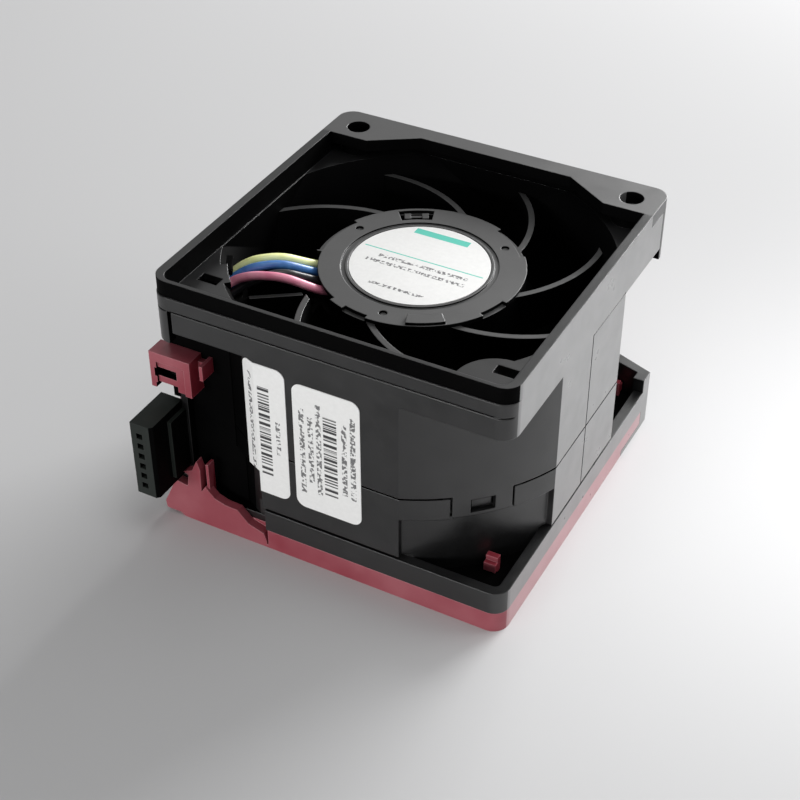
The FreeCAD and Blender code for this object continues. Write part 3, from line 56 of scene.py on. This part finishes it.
class Shader:
    """Small helper that adds and links shader nodes."""

    def __init__(self, name):
        self.material = bpy.data.materials.new(name)
        self.material.use_nodes = True
        self.tree = self.material.node_tree
        self.tree.nodes.clear()
        self.output = self.add("ShaderNodeOutputMaterial")
        self.surface = self.add("ShaderNodeBsdfPrincipled")
        self.link(self.surface.outputs["BSDF"], self.output.inputs["Surface"])
        self.place = self.add("ShaderNodeTexCoord").outputs["Object"]

    def add(self, kind, **values):
        node = self.tree.nodes.new(kind)
        for key, value in values.items():
            setattr(node, key, value)
        return node

    def link(self, source, target):
        self.tree.links.new(source, target)

    def paint(self, color):
        """Links a colour socket to the surface."""
        self.link(color, self.surface.inputs["Base Color"])

    def set(self, **values):
        """Uniform values of the surface; an underscore stands for a space."""
        for key, value in values.items():
            self.surface.inputs[key.replace("_", " ")].default_value = value

    def noise(self, scale, detail, stretch=None):
        """Noise in object space; stretch scales its three axes."""
        node = self.add("ShaderNodeTexNoise")
        node.inputs["Scale"].default_value = scale
        node.inputs["Detail"].default_value = detail
        place = self.place
        if stretch:
            mapping = self.add("ShaderNodeMapping")
            mapping.inputs["Scale"].default_value = stretch
            self.link(place, mapping.inputs["Vector"])
            place = mapping.outputs["Vector"]
        self.link(place, node.inputs["Vector"])
        return node.outputs["Fac"]

    def spread(self, source, low, high, start=0.3, end=0.7):
        """Source mapped from start..end to low..high."""
        node = self.add("ShaderNodeMapRange")
        node.inputs["From Min"].default_value = start
        node.inputs["From Max"].default_value = end
        node.inputs["To Min"].default_value = low
        node.inputs["To Max"].default_value = high
        self.link(source, node.inputs["Value"])
        return node.outputs["Result"]

    def mix(self, factor, first, second):
        """Colour between first and second; each is a colour or a socket."""
        node = self.add("ShaderNodeMix", data_type="RGBA")
        factor_in, first_in, second_in = node.inputs[0], node.inputs[6], node.inputs[7]
        for socket, value in ((first_in, first), (second_in, second)):
            if isinstance(value, tuple):
                socket.default_value = (*value, 1.0)
            else:
                self.link(value, socket)
        self.link(factor, factor_in)
        return node.outputs[2]

    def times(self, first, second):
        """Product of a socket and a socket or number."""
        node = self.add("ShaderNodeMath", operation="MULTIPLY")
        self.link(first, node.inputs[0])
        if isinstance(second, float):
            node.inputs[1].default_value = second
        else:
            self.link(second, node.inputs[1])
        return node.outputs[0]

    def bevel(self, radius):
        """Normal over edges rounded to a radius."""
        node = self.add("ShaderNodeBevel", samples=BEVEL_SAMPLES)
        node.inputs["Radius"].default_value = radius
        return node.outputs["Normal"]

    def relief(self, height, distance, strength, edge=0.0):
        """Bump from a height, over rounded edges of radius edge."""
        node = self.add("ShaderNodeBump")
        node.inputs["Strength"].default_value = strength
        node.inputs["Distance"].default_value = distance
        self.link(height, node.inputs["Height"])
        if edge:
            self.link(self.bevel(edge), node.inputs["Normal"])
        self.link(node.outputs["Normal"], self.surface.inputs["Normal"])

    def edge_wear_and_highlight(self, radius):
        """1 on sharp edges and 0 on flats, from how far a rounded normal leaves the true one."""
        dot = self.add("ShaderNodeVectorMath", operation="DOT_PRODUCT")
        self.link(self.bevel(radius), dot.inputs[0])
        self.link(self.add("ShaderNodeNewGeometry").outputs["Normal"], dot.inputs[1])
        return self.spread(dot.outputs["Value"], 1.0, 0.0, 0.75, 0.98)


def between(first, second, share):
    """Colour that share of the way from first to second."""
    return tuple((1 - share) * part + share * other for part, other in zip(first, second))


# ---- kinds of material -------------------------------------------------------------------------

MOULD_EDGE = 0.00022          # radius of a moulded edge, in metres as every length in a shader
WEAR_AND_HIGHLIGHT_REACH = 1.4              # lighter band at an edge, partly rubbed and partly painted highlight, against the edge's radius
SPARK_GRAIN = 0.00001         # depth of the spark-eroded grain
NO_COAT = (0.0, 0.03, 1.5)    # weight, roughness and index of a clear coat


def moulded(name, color, light, roughness, edge=MOULD_EDGE, specular=0.5, wear_and_highlight=0.25,
            coat=NO_COAT):
    """Moulded plastic: fine spark-eroded grain, cloudy sheen, softly rounded edges that are
    lighter, partly rubbed and partly a painted highlight.
    """
    shader = Shader(name)
    clouds = shader.noise(scale=90.0, detail=4.0)
    base = shader.mix(shader.spread(clouds, 0.0, 1.0), color, between(color, light, 0.25))
    # Lighter edges: partly rubbed plastic, partly a painted highlight.
    lighter_edges = shader.times(shader.edge_wear_and_highlight(edge * WEAR_AND_HIGHLIGHT_REACH), wear_and_highlight)
    shader.paint(shader.mix(lighter_edges, base, light))
    handling = shader.noise(scale=260.0, detail=5.0)
    sheen = shader.spread(handling, roughness - 0.06, roughness + 0.07)
    shader.link(sheen, shader.surface.inputs["Roughness"])
    coat_weight, coat_roughness, coat_index = coat
    shader.set(Specular_IOR_Level=specular, Coat_Weight=coat_weight,
               Coat_Roughness=coat_roughness, Coat_IOR=coat_index)
    grain = shader.noise(scale=2600.0, detail=2.0)
    shader.relief(grain, distance=SPARK_GRAIN, strength=0.6, edge=edge)
    return shader.material


def metal(name, color, roughness, stretch=(1.0, 1.0, 12.0)):
    """Machined or rolled metal with fine directional marks."""
    shader = Shader(name)
    marks = shader.noise(scale=900.0, detail=4.0, stretch=stretch)
    darker = tuple(0.8 * part for part in color)
    shader.paint(shader.mix(shader.spread(marks, 0.0, 1.0), color, darker))
    sheen = shader.spread(marks, roughness - 0.08, roughness + 0.1)
    shader.link(sheen, shader.surface.inputs["Roughness"])
    shader.set(Metallic=1.0)
    shader.relief(marks, distance=0.000004, strength=0.4, edge=0.0001)
    return shader.material


def insulation(name, color, deep):
    """Extruded wire insulation: smooth, with a faint waviness."""
    shader = Shader(name)
    waves = shader.noise(scale=420.0, detail=2.0)
    shader.paint(shader.mix(shader.spread(waves, 0.0, 1.0), color, deep))
    shader.set(Roughness=0.34, Coat_Weight=0.25, Coat_Roughness=0.25)
    shader.relief(waves, distance=0.00003, strength=0.5)
    return shader.material


def paper(name, color, shade, marks):
    """Matt sticker stock with a faint tooth, and plain printed marks on it."""
    shader = Shader(name)
    fibres = shader.noise(scale=1500.0, detail=5.0)
    stock = shader.mix(shader.spread(fibres, 0.0, 1.0), color, shade)
    for mark in marks:
        cover, ink = mark(shader)
        stock = shader.mix(cover, stock, ink)
    shader.paint(stock)
    shader.set(Roughness=0.5)
    shader.relief(fibres, distance=0.000006, strength=0.4, edge=0.00008)
    return shader.material


# ---- printed marks of the labels ---------------------------------------------------------------

INK = (0.035, 0.035, 0.037)
GREY_INK = (0.09, 0.09, 0.095)
TEAL_INK = (0.10, 0.52, 0.42)
BAR_PITCH = 0.55              # mm


def near(shader, axis, start, end):
    """1 where an object-space coordinate lies from start to end, in mm."""
    split = shader.add("ShaderNodeSeparateXYZ")
    shader.link(shader.place, split.inputs["Vector"])
    compare = shader.add("ShaderNodeMath", operation="COMPARE")
    shader.link(split.outputs[axis], compare.inputs[0])
    compare.inputs[1].default_value = (start + end) / 2 * MM
    compare.inputs[2].default_value = abs(end - start) / 2 * MM
    return compare.outputs[0]


def block(shader, across, along):
    """1 inside a rectangle; across and along are (axis, start, end) in mm."""
    return shader.times(near(shader, *across), near(shader, *along))


def bars(across, along):
    """Stack of plain bars of uneven thickness."""
    def mark(shader):
        stretch = tuple(1.0 if axis == along[0] else 0.0 for axis in "XYZ")
        lines = shader.noise(scale=1 / (BAR_PITCH * MM), detail=2.0, stretch=stretch)
        return shader.times(block(shader, across, along),
                            shader.spread(lines, 0.0, 1.0, 0.49, 0.51)), INK
    return mark


def small_print(across, along):
    """Row of specks that reads as print from afar and has no letters in it."""
    def mark(shader):
        specks = shader.noise(scale=2100.0, detail=1.0)
        return shader.times(block(shader, across, along),
                            shader.spread(specks, 0.0, 0.9, 0.46, 0.56)), GREY_INK
    return mark


def rule(across, along):
    """Plain teal line."""
    def mark(shader):
        return block(shader, across, along), TEAL_INK
    return mark


# ---- materials ---------------------------------------------------------------------------------

# Maroon of the lighter edges, partly rubbed and partly painted highlight.
WORN_AND_LIT_MAROON = (0.66, 0.30, 0.33)
BLACK = moulded("black_plastic", (0.0040, 0.0040, 0.0042), (0.020, 0.020, 0.021), 0.34,
                specular=0.85)
SATIN = moulded("satin_black_plastic", (0.045, 0.045, 0.045), (0.075, 0.075, 0.075), 0.42,
                specular=0.95)
# Painted shade for the motor cover's sides and for the small dark plates further down.
SHADE = moulded("shaded_black_plastic", (0.0016, 0.0016, 0.0017), (0.008, 0.008, 0.008), 0.46,
                specular=0.10)
# Painted highlight: lighter than the black plastic, for the vane tops that catch the light.
VANE_HIGHLIGHT = moulded("vane_highlight_plastic", (0.030, 0.030, 0.030), (0.06, 0.06, 0.06), 0.40,
               specular=0.95)
# Painted shade for unlit insides and recesses, near black; the open joint lines use it too.
SHADE_AND_JOINT_BLACK = moulded("shade_and_joint_black_plastic", (0.0008, 0.0008, 0.0009), (0.003, 0.003, 0.003), 0.62,
                specular=0.03)
# Painted sheen: lighter, coated copies of the black and the maroon plastic for the flats of the
# sides.
SIDE_SHEEN = moulded("sheen_black_plastic", (0.034, 0.034, 0.034), (0.055, 0.055, 0.056), 0.33,
               specular=1.0, coat=(1.0, 0.30, 1.7))
# Painted shade: darker and less glossy than the black plastic, for the impeller deep inside the
# fan.
IMPELLER = moulded("impeller_plastic", (0.0010, 0.0010, 0.0011), (0.006, 0.006, 0.006), 0.50,
                   specular=0.05)
MAROON = moulded("maroon_plastic", (0.26, 0.034, 0.052), WORN_AND_LIT_MAROON, 0.34,
                 specular=0.42, wear_and_highlight=0.45)
MAROON_SHEEN = moulded("sheen_maroon_plastic", (0.30, 0.055, 0.075), WORN_AND_LIT_MAROON, 0.33,
                      specular=1.0, coat=(1.0, 0.30, 1.65))
# Painted shade: a darker copy of the maroon for faces that the light misses.
MAROON_SHADE = moulded("shaded_maroon_plastic", (0.16, 0.006, 0.014), (0.60, 0.16, 0.20), 0.40,
                      specular=0.2, wear_and_highlight=0.5)
PLUG = moulded("plug_plastic", (0.014, 0.018, 0.016), (0.05, 0.055, 0.05), 0.50, specular=0.15)
INSULATOR = moulded("insulator_plastic", (0.62, 0.58, 0.48), (0.75, 0.72, 0.65), 0.5)
CHIP = moulded("chip_plastic", (0.015, 0.015, 0.016), (0.06, 0.06, 0.06), 0.5, edge=0.0001)
MAGNET = moulded("magnet_ferrite", (0.05, 0.05, 0.052), (0.12, 0.12, 0.12), 0.6)
BOARD = moulded("circuit_board", (0.01, 0.11, 0.045), (0.05, 0.25, 0.12), 0.35, edge=0.0001)

STEEL = metal("ground_steel", (0.62, 0.62, 0.63), 0.28)
SPRING = metal("spring_steel", (0.55, 0.55, 0.57), 0.3)
LAMINATION = metal("laminated_steel", (0.42, 0.42, 0.44), 0.42, (1.0, 1.0, 60.0))
BRASS = metal("turned_brass", (0.78, 0.56, 0.26), 0.3)
GOLD = metal("plated_contact", (0.9, 0.68, 0.32), 0.25)
COPPER = metal("enamelled_copper", (0.72, 0.28, 0.1), 0.35, (1.0, 1.0, 40.0))
CAN = metal("capacitor_can", (0.75, 0.75, 0.78), 0.3)

YELLOW = insulation("wire_yellow", (0.96, 1.0, 0.52), (0.86, 0.90, 0.34))
BLUE = insulation("wire_blue", (0.09, 0.27, 0.62), (0.03, 0.12, 0.38))
BLACK_WIRE = insulation("wire_black", (0.02, 0.02, 0.022), (0.012, 0.012, 0.014))
RED = insulation("wire_red", (0.92, 0.40, 0.52), (0.78, 0.22, 0.34))

FRONT_STOCK = ((0.90, 0.90, 0.89), (0.86, 0.86, 0.85))
HUB_STOCK = ((0.76, 0.76, 0.75), (0.72, 0.72, 0.71))
NARROW_LABEL = paper("sticker_narrow", *FRONT_STOCK, marks=(
    small_print(("X", -13.7, -12.9), ("Z", 14.6, 35.0)),
    bars(("X", -11.7, -9.7), ("Z", 16.0, 33.2)),
    small_print(("X", -8.8, -8.0), ("Z", 20.8, 27.3)),
))
WIDE_LABEL = paper("sticker_wide", *FRONT_STOCK, marks=(
    small_print(("X", -4.6, -3.7), ("Z", 15.2, 31.6)),
    small_print(("X", -3.1, -2.2), ("Z", 17.6, 30.4)),
    small_print(("X", -1.7, -0.8), ("Z", 15.7, 33.2)),
    bars(("X", -0.4, 1.9), ("Z", 16.2, 31.6)),
    small_print(("X", 2.7, 3.6), ("Z", 17.3, 31.3)),
    small_print(("X", 4.2, 5.1), ("Z", 16.9, 32.8)),
))
HUB_LABEL = paper("sticker_round", *HUB_STOCK, marks=(
    rule(("Y", 1.05, 1.3), ("X", -10.4, 10.4)),
    rule(("Y", 7.9, 9.4), ("X", -5.2, 4.4)),
    small_print(("Y", -0.9, -0.1), ("X", -7.0, 8.6)),
    small_print(("Y", -2.6, -1.8), ("X", -8.4, 8.8)),
    small_print(("Y", -8.2, -7.5), ("X", -4.8, 4.6)),
))

# Whatever is not named here is black plastic.
FINISH = {
    "back_plate": SATIN, "motor_cover": SATIN, "cover_pins": SATIN, "impeller": IMPELLER,
    "carrier_frame": MAROON, "plug_bracket": MAROON, "release_latch": MAROON,
    "plug_housing": PLUG, "plug_contacts": GOLD,
    "hub_label": HUB_LABEL, "front_label_narrow": NARROW_LABEL, "front_label_wide": WIDE_LABEL,
    "bearing_tube": BRASS, "bearing_lower": STEEL, "bearing_upper": STEEL,
    "preload_spring": SPRING, "rotor_shaft": STEEL, "shaft_clip": SPRING,
    "rotor_cup": LAMINATION, "magnet_ring": MAGNET, "stator_core": LAMINATION,
    "coil_insulator": INSULATOR, "windings": COPPER, "driver_board": BOARD,
    "board_chips": CHIP, "capacitor": CAN, "latch_pin": STEEL, "latch_spring": SPRING,
    "wire_yellow": YELLOW, "wire_blue": BLUE, "wire_black": BLACK_WIRE, "wire_red": RED,
}

for node_name, node in NODES.items():
    node.data.materials.clear()
    node.data.materials.append(FINISH.get(node_name, BLACK))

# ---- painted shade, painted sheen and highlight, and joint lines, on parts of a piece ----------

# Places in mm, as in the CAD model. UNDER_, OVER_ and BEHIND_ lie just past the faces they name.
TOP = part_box("upper_housing")[1][2] / MM
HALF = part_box("upper_housing")[1][0] / MM
BARREL_RADIUS = HALF + 2.4
BELL_RADIUS = 31.2
SKIN = 0.12                   # faces deeper than this under the outside are inside a joint
JOINT_BOTTOM = 28.5           # radius that no joint line reaches
HOUSING_JOINT = (20.0, 20.6)
RIM_JOINT = (TOP - 5.5, TOP - 4.95)
SNAP_ANGLES = (-45.0, 45.0, 135.0)
SNAP_REACH = 10.0             # degrees to each side of a snap tongue
UNDER_TOP = TOP - 0.1
UNDER_WEBS = TOP - 3.9
UNDER_PLATE = TOP - 2.3
STRIP_BOTTOM = TOP - 2.9      # strip at the very top of the rim's front
STRIP_BACK = -HALF + 3.5
INNER_SQUARE = HALF - 0.4
OUTER_SQUARE = HALF - 0.6
UNDER_VANE_TOPS = 38.6
CORNER_SIDE = -14.7           # where the corner behind the plug starts
CORNER_TOP = 37.0
OVER_TRAY_FLOOR = 6.0
OVER_TRAY_WALLS = 8.5
OVER_BEZEL = 4.0              # above the carrier's flat frame
BEHIND_GUSSET = -28.4
SCREEN_FACES = (-27.0, -25.6)
POST_SIDE = -26.0             # post beside the plug
POST_BACK = -26.7
HOOD_WINDOW_X = (-31.0, -26.6)
HOOD_WINDOW_Z = (26.0, 30.5)
# Parts of a normal along an axis.
TOWARDS = 0.5                 # the face looks that way
SLOPES = 0.3                  # it looks at least a little that way
FLAT = 0.97                   # it lies square across the axis
LEVEL = 0.8                   # it is a top face
INWARD = 0.05                 # it looks at the fan's axis


def within(value, limits):
    return limits[0] < value < limits[1]


def from_square(place):
    """How far out a place is, measured as the square outline is."""
    return max(abs(place.x), abs(place.y))


def faces_axis(place, normal):
    return place.x * normal.x + place.y * normal.y < -INWARD * place.xy.length


def faces_right(place, normal):
    return normal.x > TOWARDS


def not_upward(place, normal):
    return normal.z < TOWARDS


def inside_bell(place, normal):
    """Bell, inner walls of the rim and the way of the wires, but not the top faces."""
    return normal.z < LEVEL and faces_axis(place, normal) and place.z < UNDER_TOP


def front_strip(place, normal):
    """Front of the strip at the very top of the rim."""
    return normal.y < -SLOPES and place.z > STRIP_BOTTOM and place.y < STRIP_BACK


def inner_wall(place, normal):
    """Whatever lies inside the bell, under the webs."""
    in_bell = place.xy.length < BELL_RADIUS and from_square(place) < INNER_SQUARE
    return in_bell and place.z < UNDER_WEBS


def side_flat(place, normal):
    """Outer flats of the two sides, which get a painted sheen."""
    return abs(normal.x) > FLAT and abs(place.x) > OUTER_SQUARE


def in_joint(heights):
    """Faces inside an open joint line, between two heights and clear of the snap tongues."""
    def inside(place, normal):
        angle = math.degrees(math.atan2(place.y, place.x))
        at_snap = min(abs(angle - snap) for snap in SNAP_ANGLES) < SNAP_REACH
        under_flat = from_square(place) < HALF - SKIN
        under_round = within(place.xy.length, (JOINT_BOTTOM, BARREL_RADIUS - SKIN))
        return within(place.z, heights) and under_flat and under_round and not at_snap
    return inside


def dark_corner(place, normal):
    """Round corner behind the plug, which no light reaches, up to the flat of the side."""
    in_corner = place.x < CORNER_SIDE and place.y < 0.0 and place.z < CORNER_TOP
    return in_corner and normal.z < TOWARDS and normal.x > -FLAT


def plate_inside(place, normal):
    return normal.z < TOWARDS and faces_axis(place, normal)


def plate_skirt(place, normal):
    """Front and underside of the back plate's skirt."""
    return place.z < UNDER_PLATE and min(normal.y, normal.z) < -SLOPES


def vane_top(place, normal):
    return normal.z >= TOWARDS and place.z >= UNDER_VANE_TOPS


def under_vane_top(place, normal):
    return not vane_top(place, normal)


def tray_inside(place, normal):
    """Floor of the tray and the inner sides of its walls."""
    on_floor = normal.z > TOWARDS and place.z < OVER_TRAY_FLOOR
    return on_floor or faces_axis(place, normal)


def corner_screen(place, normal):
    """Screen at the corner of the tray, but not the post beside the plug."""
    on_screen = place.z > OVER_TRAY_WALLS or within(place.y, SCREEN_FACES)
    return on_screen and not (place.x < POST_SIDE and place.y < POST_BACK)


def carrier_inside(place, normal):
    """What stands on the carrier behind its gusset, such as the hooks, but not the fronts."""
    behind = place.y > BEHIND_GUSSET and place.z > OVER_BEZEL
    return behind and normal.y > -TOWARDS


def hood_side(place, normal):
    """Right side and underside of the plug's hood."""
    return normal.x > TOWARDS or normal.z < -TOWARDS


def hood_window(place, normal):
    """Sides and back of the window in the plug's hood."""
    in_window = within(place.z, HOOD_WINDOW_Z) and within(place.x, HOOD_WINDOW_X)
    return in_window and normal.y > -TOWARDS


# A later row goes over an earlier one.
ZONES = (
    # Painted shade: the bell, the rim's inner walls, the way of the wires and all inside the bell
    # under the webs.
    ("upper_housing", SHADE_AND_JOINT_BLACK, inside_bell),
    # The front of the rim's top strip is made near black too.
    ("upper_housing", SHADE_AND_JOINT_BLACK, front_strip),
    ("upper_housing", SHADE_AND_JOINT_BLACK, inner_wall),
    # Painted sheen: the outer flats of the sides.
    ("upper_housing", SIDE_SHEEN, side_flat),
    ("lower_housing", SIDE_SHEEN, side_flat),
    ("tray", SIDE_SHEEN, side_flat),
    ("rear_rail", SIDE_SHEEN, side_flat),
    ("carrier_frame", MAROON_SHEEN, side_flat),
    ("upper_housing", SHADE_AND_JOINT_BLACK, in_joint(RIM_JOINT)),
    ("upper_housing", SHADE_AND_JOINT_BLACK, in_joint(HOUSING_JOINT)),
    ("lower_housing", SHADE_AND_JOINT_BLACK, in_joint(HOUSING_JOINT)),
    # Painted shade: the corner behind the plug, the inside and skirt of the back plate, and the
    # stator below its vane tops.
    ("upper_housing", SHADE_AND_JOINT_BLACK, dark_corner),
    ("lower_housing", SHADE_AND_JOINT_BLACK, dark_corner),
    ("back_plate", SHADE_AND_JOINT_BLACK, plate_inside),
    ("back_plate", SHADE_AND_JOINT_BLACK, plate_skirt),
    ("stator_frame", SHADE_AND_JOINT_BLACK, under_vane_top),
    # Painted highlight: the vane tops.
    ("stator_frame", VANE_HIGHLIGHT, vane_top),
    # Painted shade: the motor cover's sides and underside.
    ("motor_cover", SHADE, not_upward),
    # Painted shade: the tray's floor and inner walls, the tray's corner piece and the plug's right
    # side.
    ("tray", SHADE_AND_JOINT_BLACK, tray_inside),
    ("tray", SHADE_AND_JOINT_BLACK, corner_screen),
    ("plug_housing", SHADE_AND_JOINT_BLACK, faces_right),
    # Painted shade: what stands behind the carrier's gusset, and the hood's side and underside.
    ("carrier_frame", MAROON_SHADE, carrier_inside),
    ("plug_bracket", MAROON_SHADE, hood_side),
    # Painted shade: the window in the plug's hood.
    ("plug_bracket", SHADE_AND_JOINT_BLACK, hood_window),
)


def zone(node_name, material, inside):
    """Gives the faces whose middle and normal pass the test another material."""
    mesh = NODES[node_name].data
    if material.name not in mesh.materials:
        mesh.materials.append(material)
    slot = mesh.materials.find(material.name)
    for face in mesh.polygons:
        if inside(face.center / MM, face.normal):
            face.material_index = slot


for row in ZONES:
    zone(*row)

# ---- small plates of painted shade -------------------------------------------------------------

# Two thin dark plates of painted shade that keep stray light from showing through where the fan
# shows only black: one inside the left side wing, and one behind the window of the plug's hood.
WING_FACE = -HALF + 0.05
WING_OUTLINE = (
    (WING_FACE, -17.1, 33.0), (WING_FACE, -17.1, 37.6),
    (WING_FACE, -9.5, 37.6), (WING_FACE, -9.5, 35.6),
)
HOOD_OUTLINE = (
    (-31.3, -26.8, 26.2), (-27.7, -26.8, 26.2), (-27.7, -26.8, 31.0), (-31.3, -26.8, 31.0),
)


def show(thing):
    """Adds an object to the scene."""
    bpy.context.scene.collection.objects.link(thing)


def meshed(name, corners, faces, material):
    """Object in the scene, made from corners in metres and the faces between them."""
    mesh = bpy.data.meshes.new(name)
    mesh.from_pydata(corners, [], faces)
    mesh.materials.append(material)
    thing = bpy.data.objects.new(name, mesh)
    show(thing)
    return thing


def screen(name, outline, thickness):
    """Thin plate of painted shade with softened edges, from an outline in mm, whose front looks
    away from its thickness.
    """
    front = [Vector(point) * MM for point in outline]
    back = [corner + Vector(thickness) * MM for corner in front]
    count = len(outline)
    following = [(corner + 1) % count for corner in range(count)]
    rims = [(end, start, start + count, end + count) for start, end in enumerate(following)]
    faces = [tuple(range(count)), tuple(reversed(range(count, 2 * count))), *rims]
    plate = meshed(name, front + back, faces, SHADE)
    softened = plate.modifiers.new("edges", "BEVEL")
    softened.width = 0.1 * MM
    softened.segments = 2
    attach(plate, "module")


screen("wing_shade_plate", WING_OUTLINE, (0.7, 0.0, 0.0))
screen("hood_shade_plate", HOOD_OUTLINE, (0.0, 0.2, 0.0))

# ---- stage, light and camera -------------------------------------------------------------------

CENTRE = (0.0, 0.0, 0.025)
# name, place (m), size (m), power (W); each looks at the middle of the fan
LAMPS = (
    ("rim_panel", (0.15, 0.68, 0.30), (0.45, 0.28), 7.8),
    ("key", (0.25, -0.1, 0.8), (0.4, 0.4), 1.2),
    ("front_panel", (-0.20, -0.9, 0.16), (0.6, 0.25), 4.6),
    ("back_panel", (-0.35, 0.65, 0.55), (0.7, 0.5), 0.5),
)
# Light that the floor throws back on the right side.
FLOOR_CARD = ("floor_card", (0.105, 0.045, 0.055), (0.07, 0.20), 0.09)
FLOOR_CARD_TARGET = (0.085, 0.035, 0.0)
SKY = 0.22
FLOOR_REACH = 3.0
FLOOR_CORNERS = ((-1, -1), (1, -1), (1, 1), (-1, 1))
CAMERA_PLACE = (0.09678, -0.18783, 0.17907)
CAMERA_AZIMUTH = 28.10
CAMERA_ELEVATION = 38.01
CAMERA_LENS = 72.24


def floor():
    """Plain pale floor, far larger than the view."""
    shader = Shader("pale_floor")
    tone = shader.spread(shader.noise(scale=3.0, detail=2.0), 0.0, 1.0)
    shader.paint(shader.mix(tone, (0.555, 0.555, 0.56), (0.585, 0.585, 0.59)))
    shader.set(Roughness=0.8)
    corners = [(x * FLOOR_REACH, y * FLOOR_REACH, 0.0) for x, y in FLOOR_CORNERS]
    meshed("floor", corners, [(0, 1, 2, 3)], shader.material)


def aim(thing, direction):
    """Points a lamp or camera along a direction."""
    thing.rotation_euler = direction.to_track_quat("-Z", "Y").to_euler()


def area_light(name, place, size, power, target=CENTRE, hidden=False):
    """Soft rectangular lamp; a hidden one shows neither to the camera nor in a reflection."""
    light = bpy.data.lights.new(name, "AREA")
    light.shape = "RECTANGLE"
    light.size, light.size_y = size
    light.energy = power
    lamp = bpy.data.objects.new(name, light)
    lamp.location = place
    aim(lamp, Vector(target) - Vector(place))
    lamp.visible_camera = not hidden
    lamp.visible_glossy = not hidden
    show(lamp)


def world(strength):
    """Even white light from all around."""
    scene_world = bpy.data.worlds.new("studio")
    scene_world.use_nodes = True
    background = scene_world.node_tree.nodes["Background"]
    background.inputs["Color"].default_value = (1.0, 1.0, 1.0, 1.0)
    background.inputs["Strength"].default_value = strength
    bpy.context.scene.world = scene_world


def camera():
    """Long lens above the fan's front right corner."""
    azimuth = math.radians(CAMERA_AZIMUTH)
    elevation = math.radians(CAMERA_ELEVATION)
    data = bpy.data.cameras.new("camera")
    data.lens = CAMERA_LENS
    data.sensor_width = 36.0
    data.clip_start = 0.01
    data.clip_end = 20.0
    eye = bpy.data.objects.new("camera", data)
    eye.location = CAMERA_PLACE
    aim(eye, Vector((
        -math.sin(azimuth) * math.cos(elevation),
        math.cos(azimuth) * math.cos(elevation),
        -math.sin(elevation),
    )))
    show(eye)
    bpy.context.scene.camera = eye


floor()
world(SKY)
for lamp_row in LAMPS:
    area_light(*lamp_row)
area_light(*FLOOR_CARD, target=FLOOR_CARD_TARGET, hidden=True)
camera()
bpy.context.scene.view_settings.view_transform = "Standard"
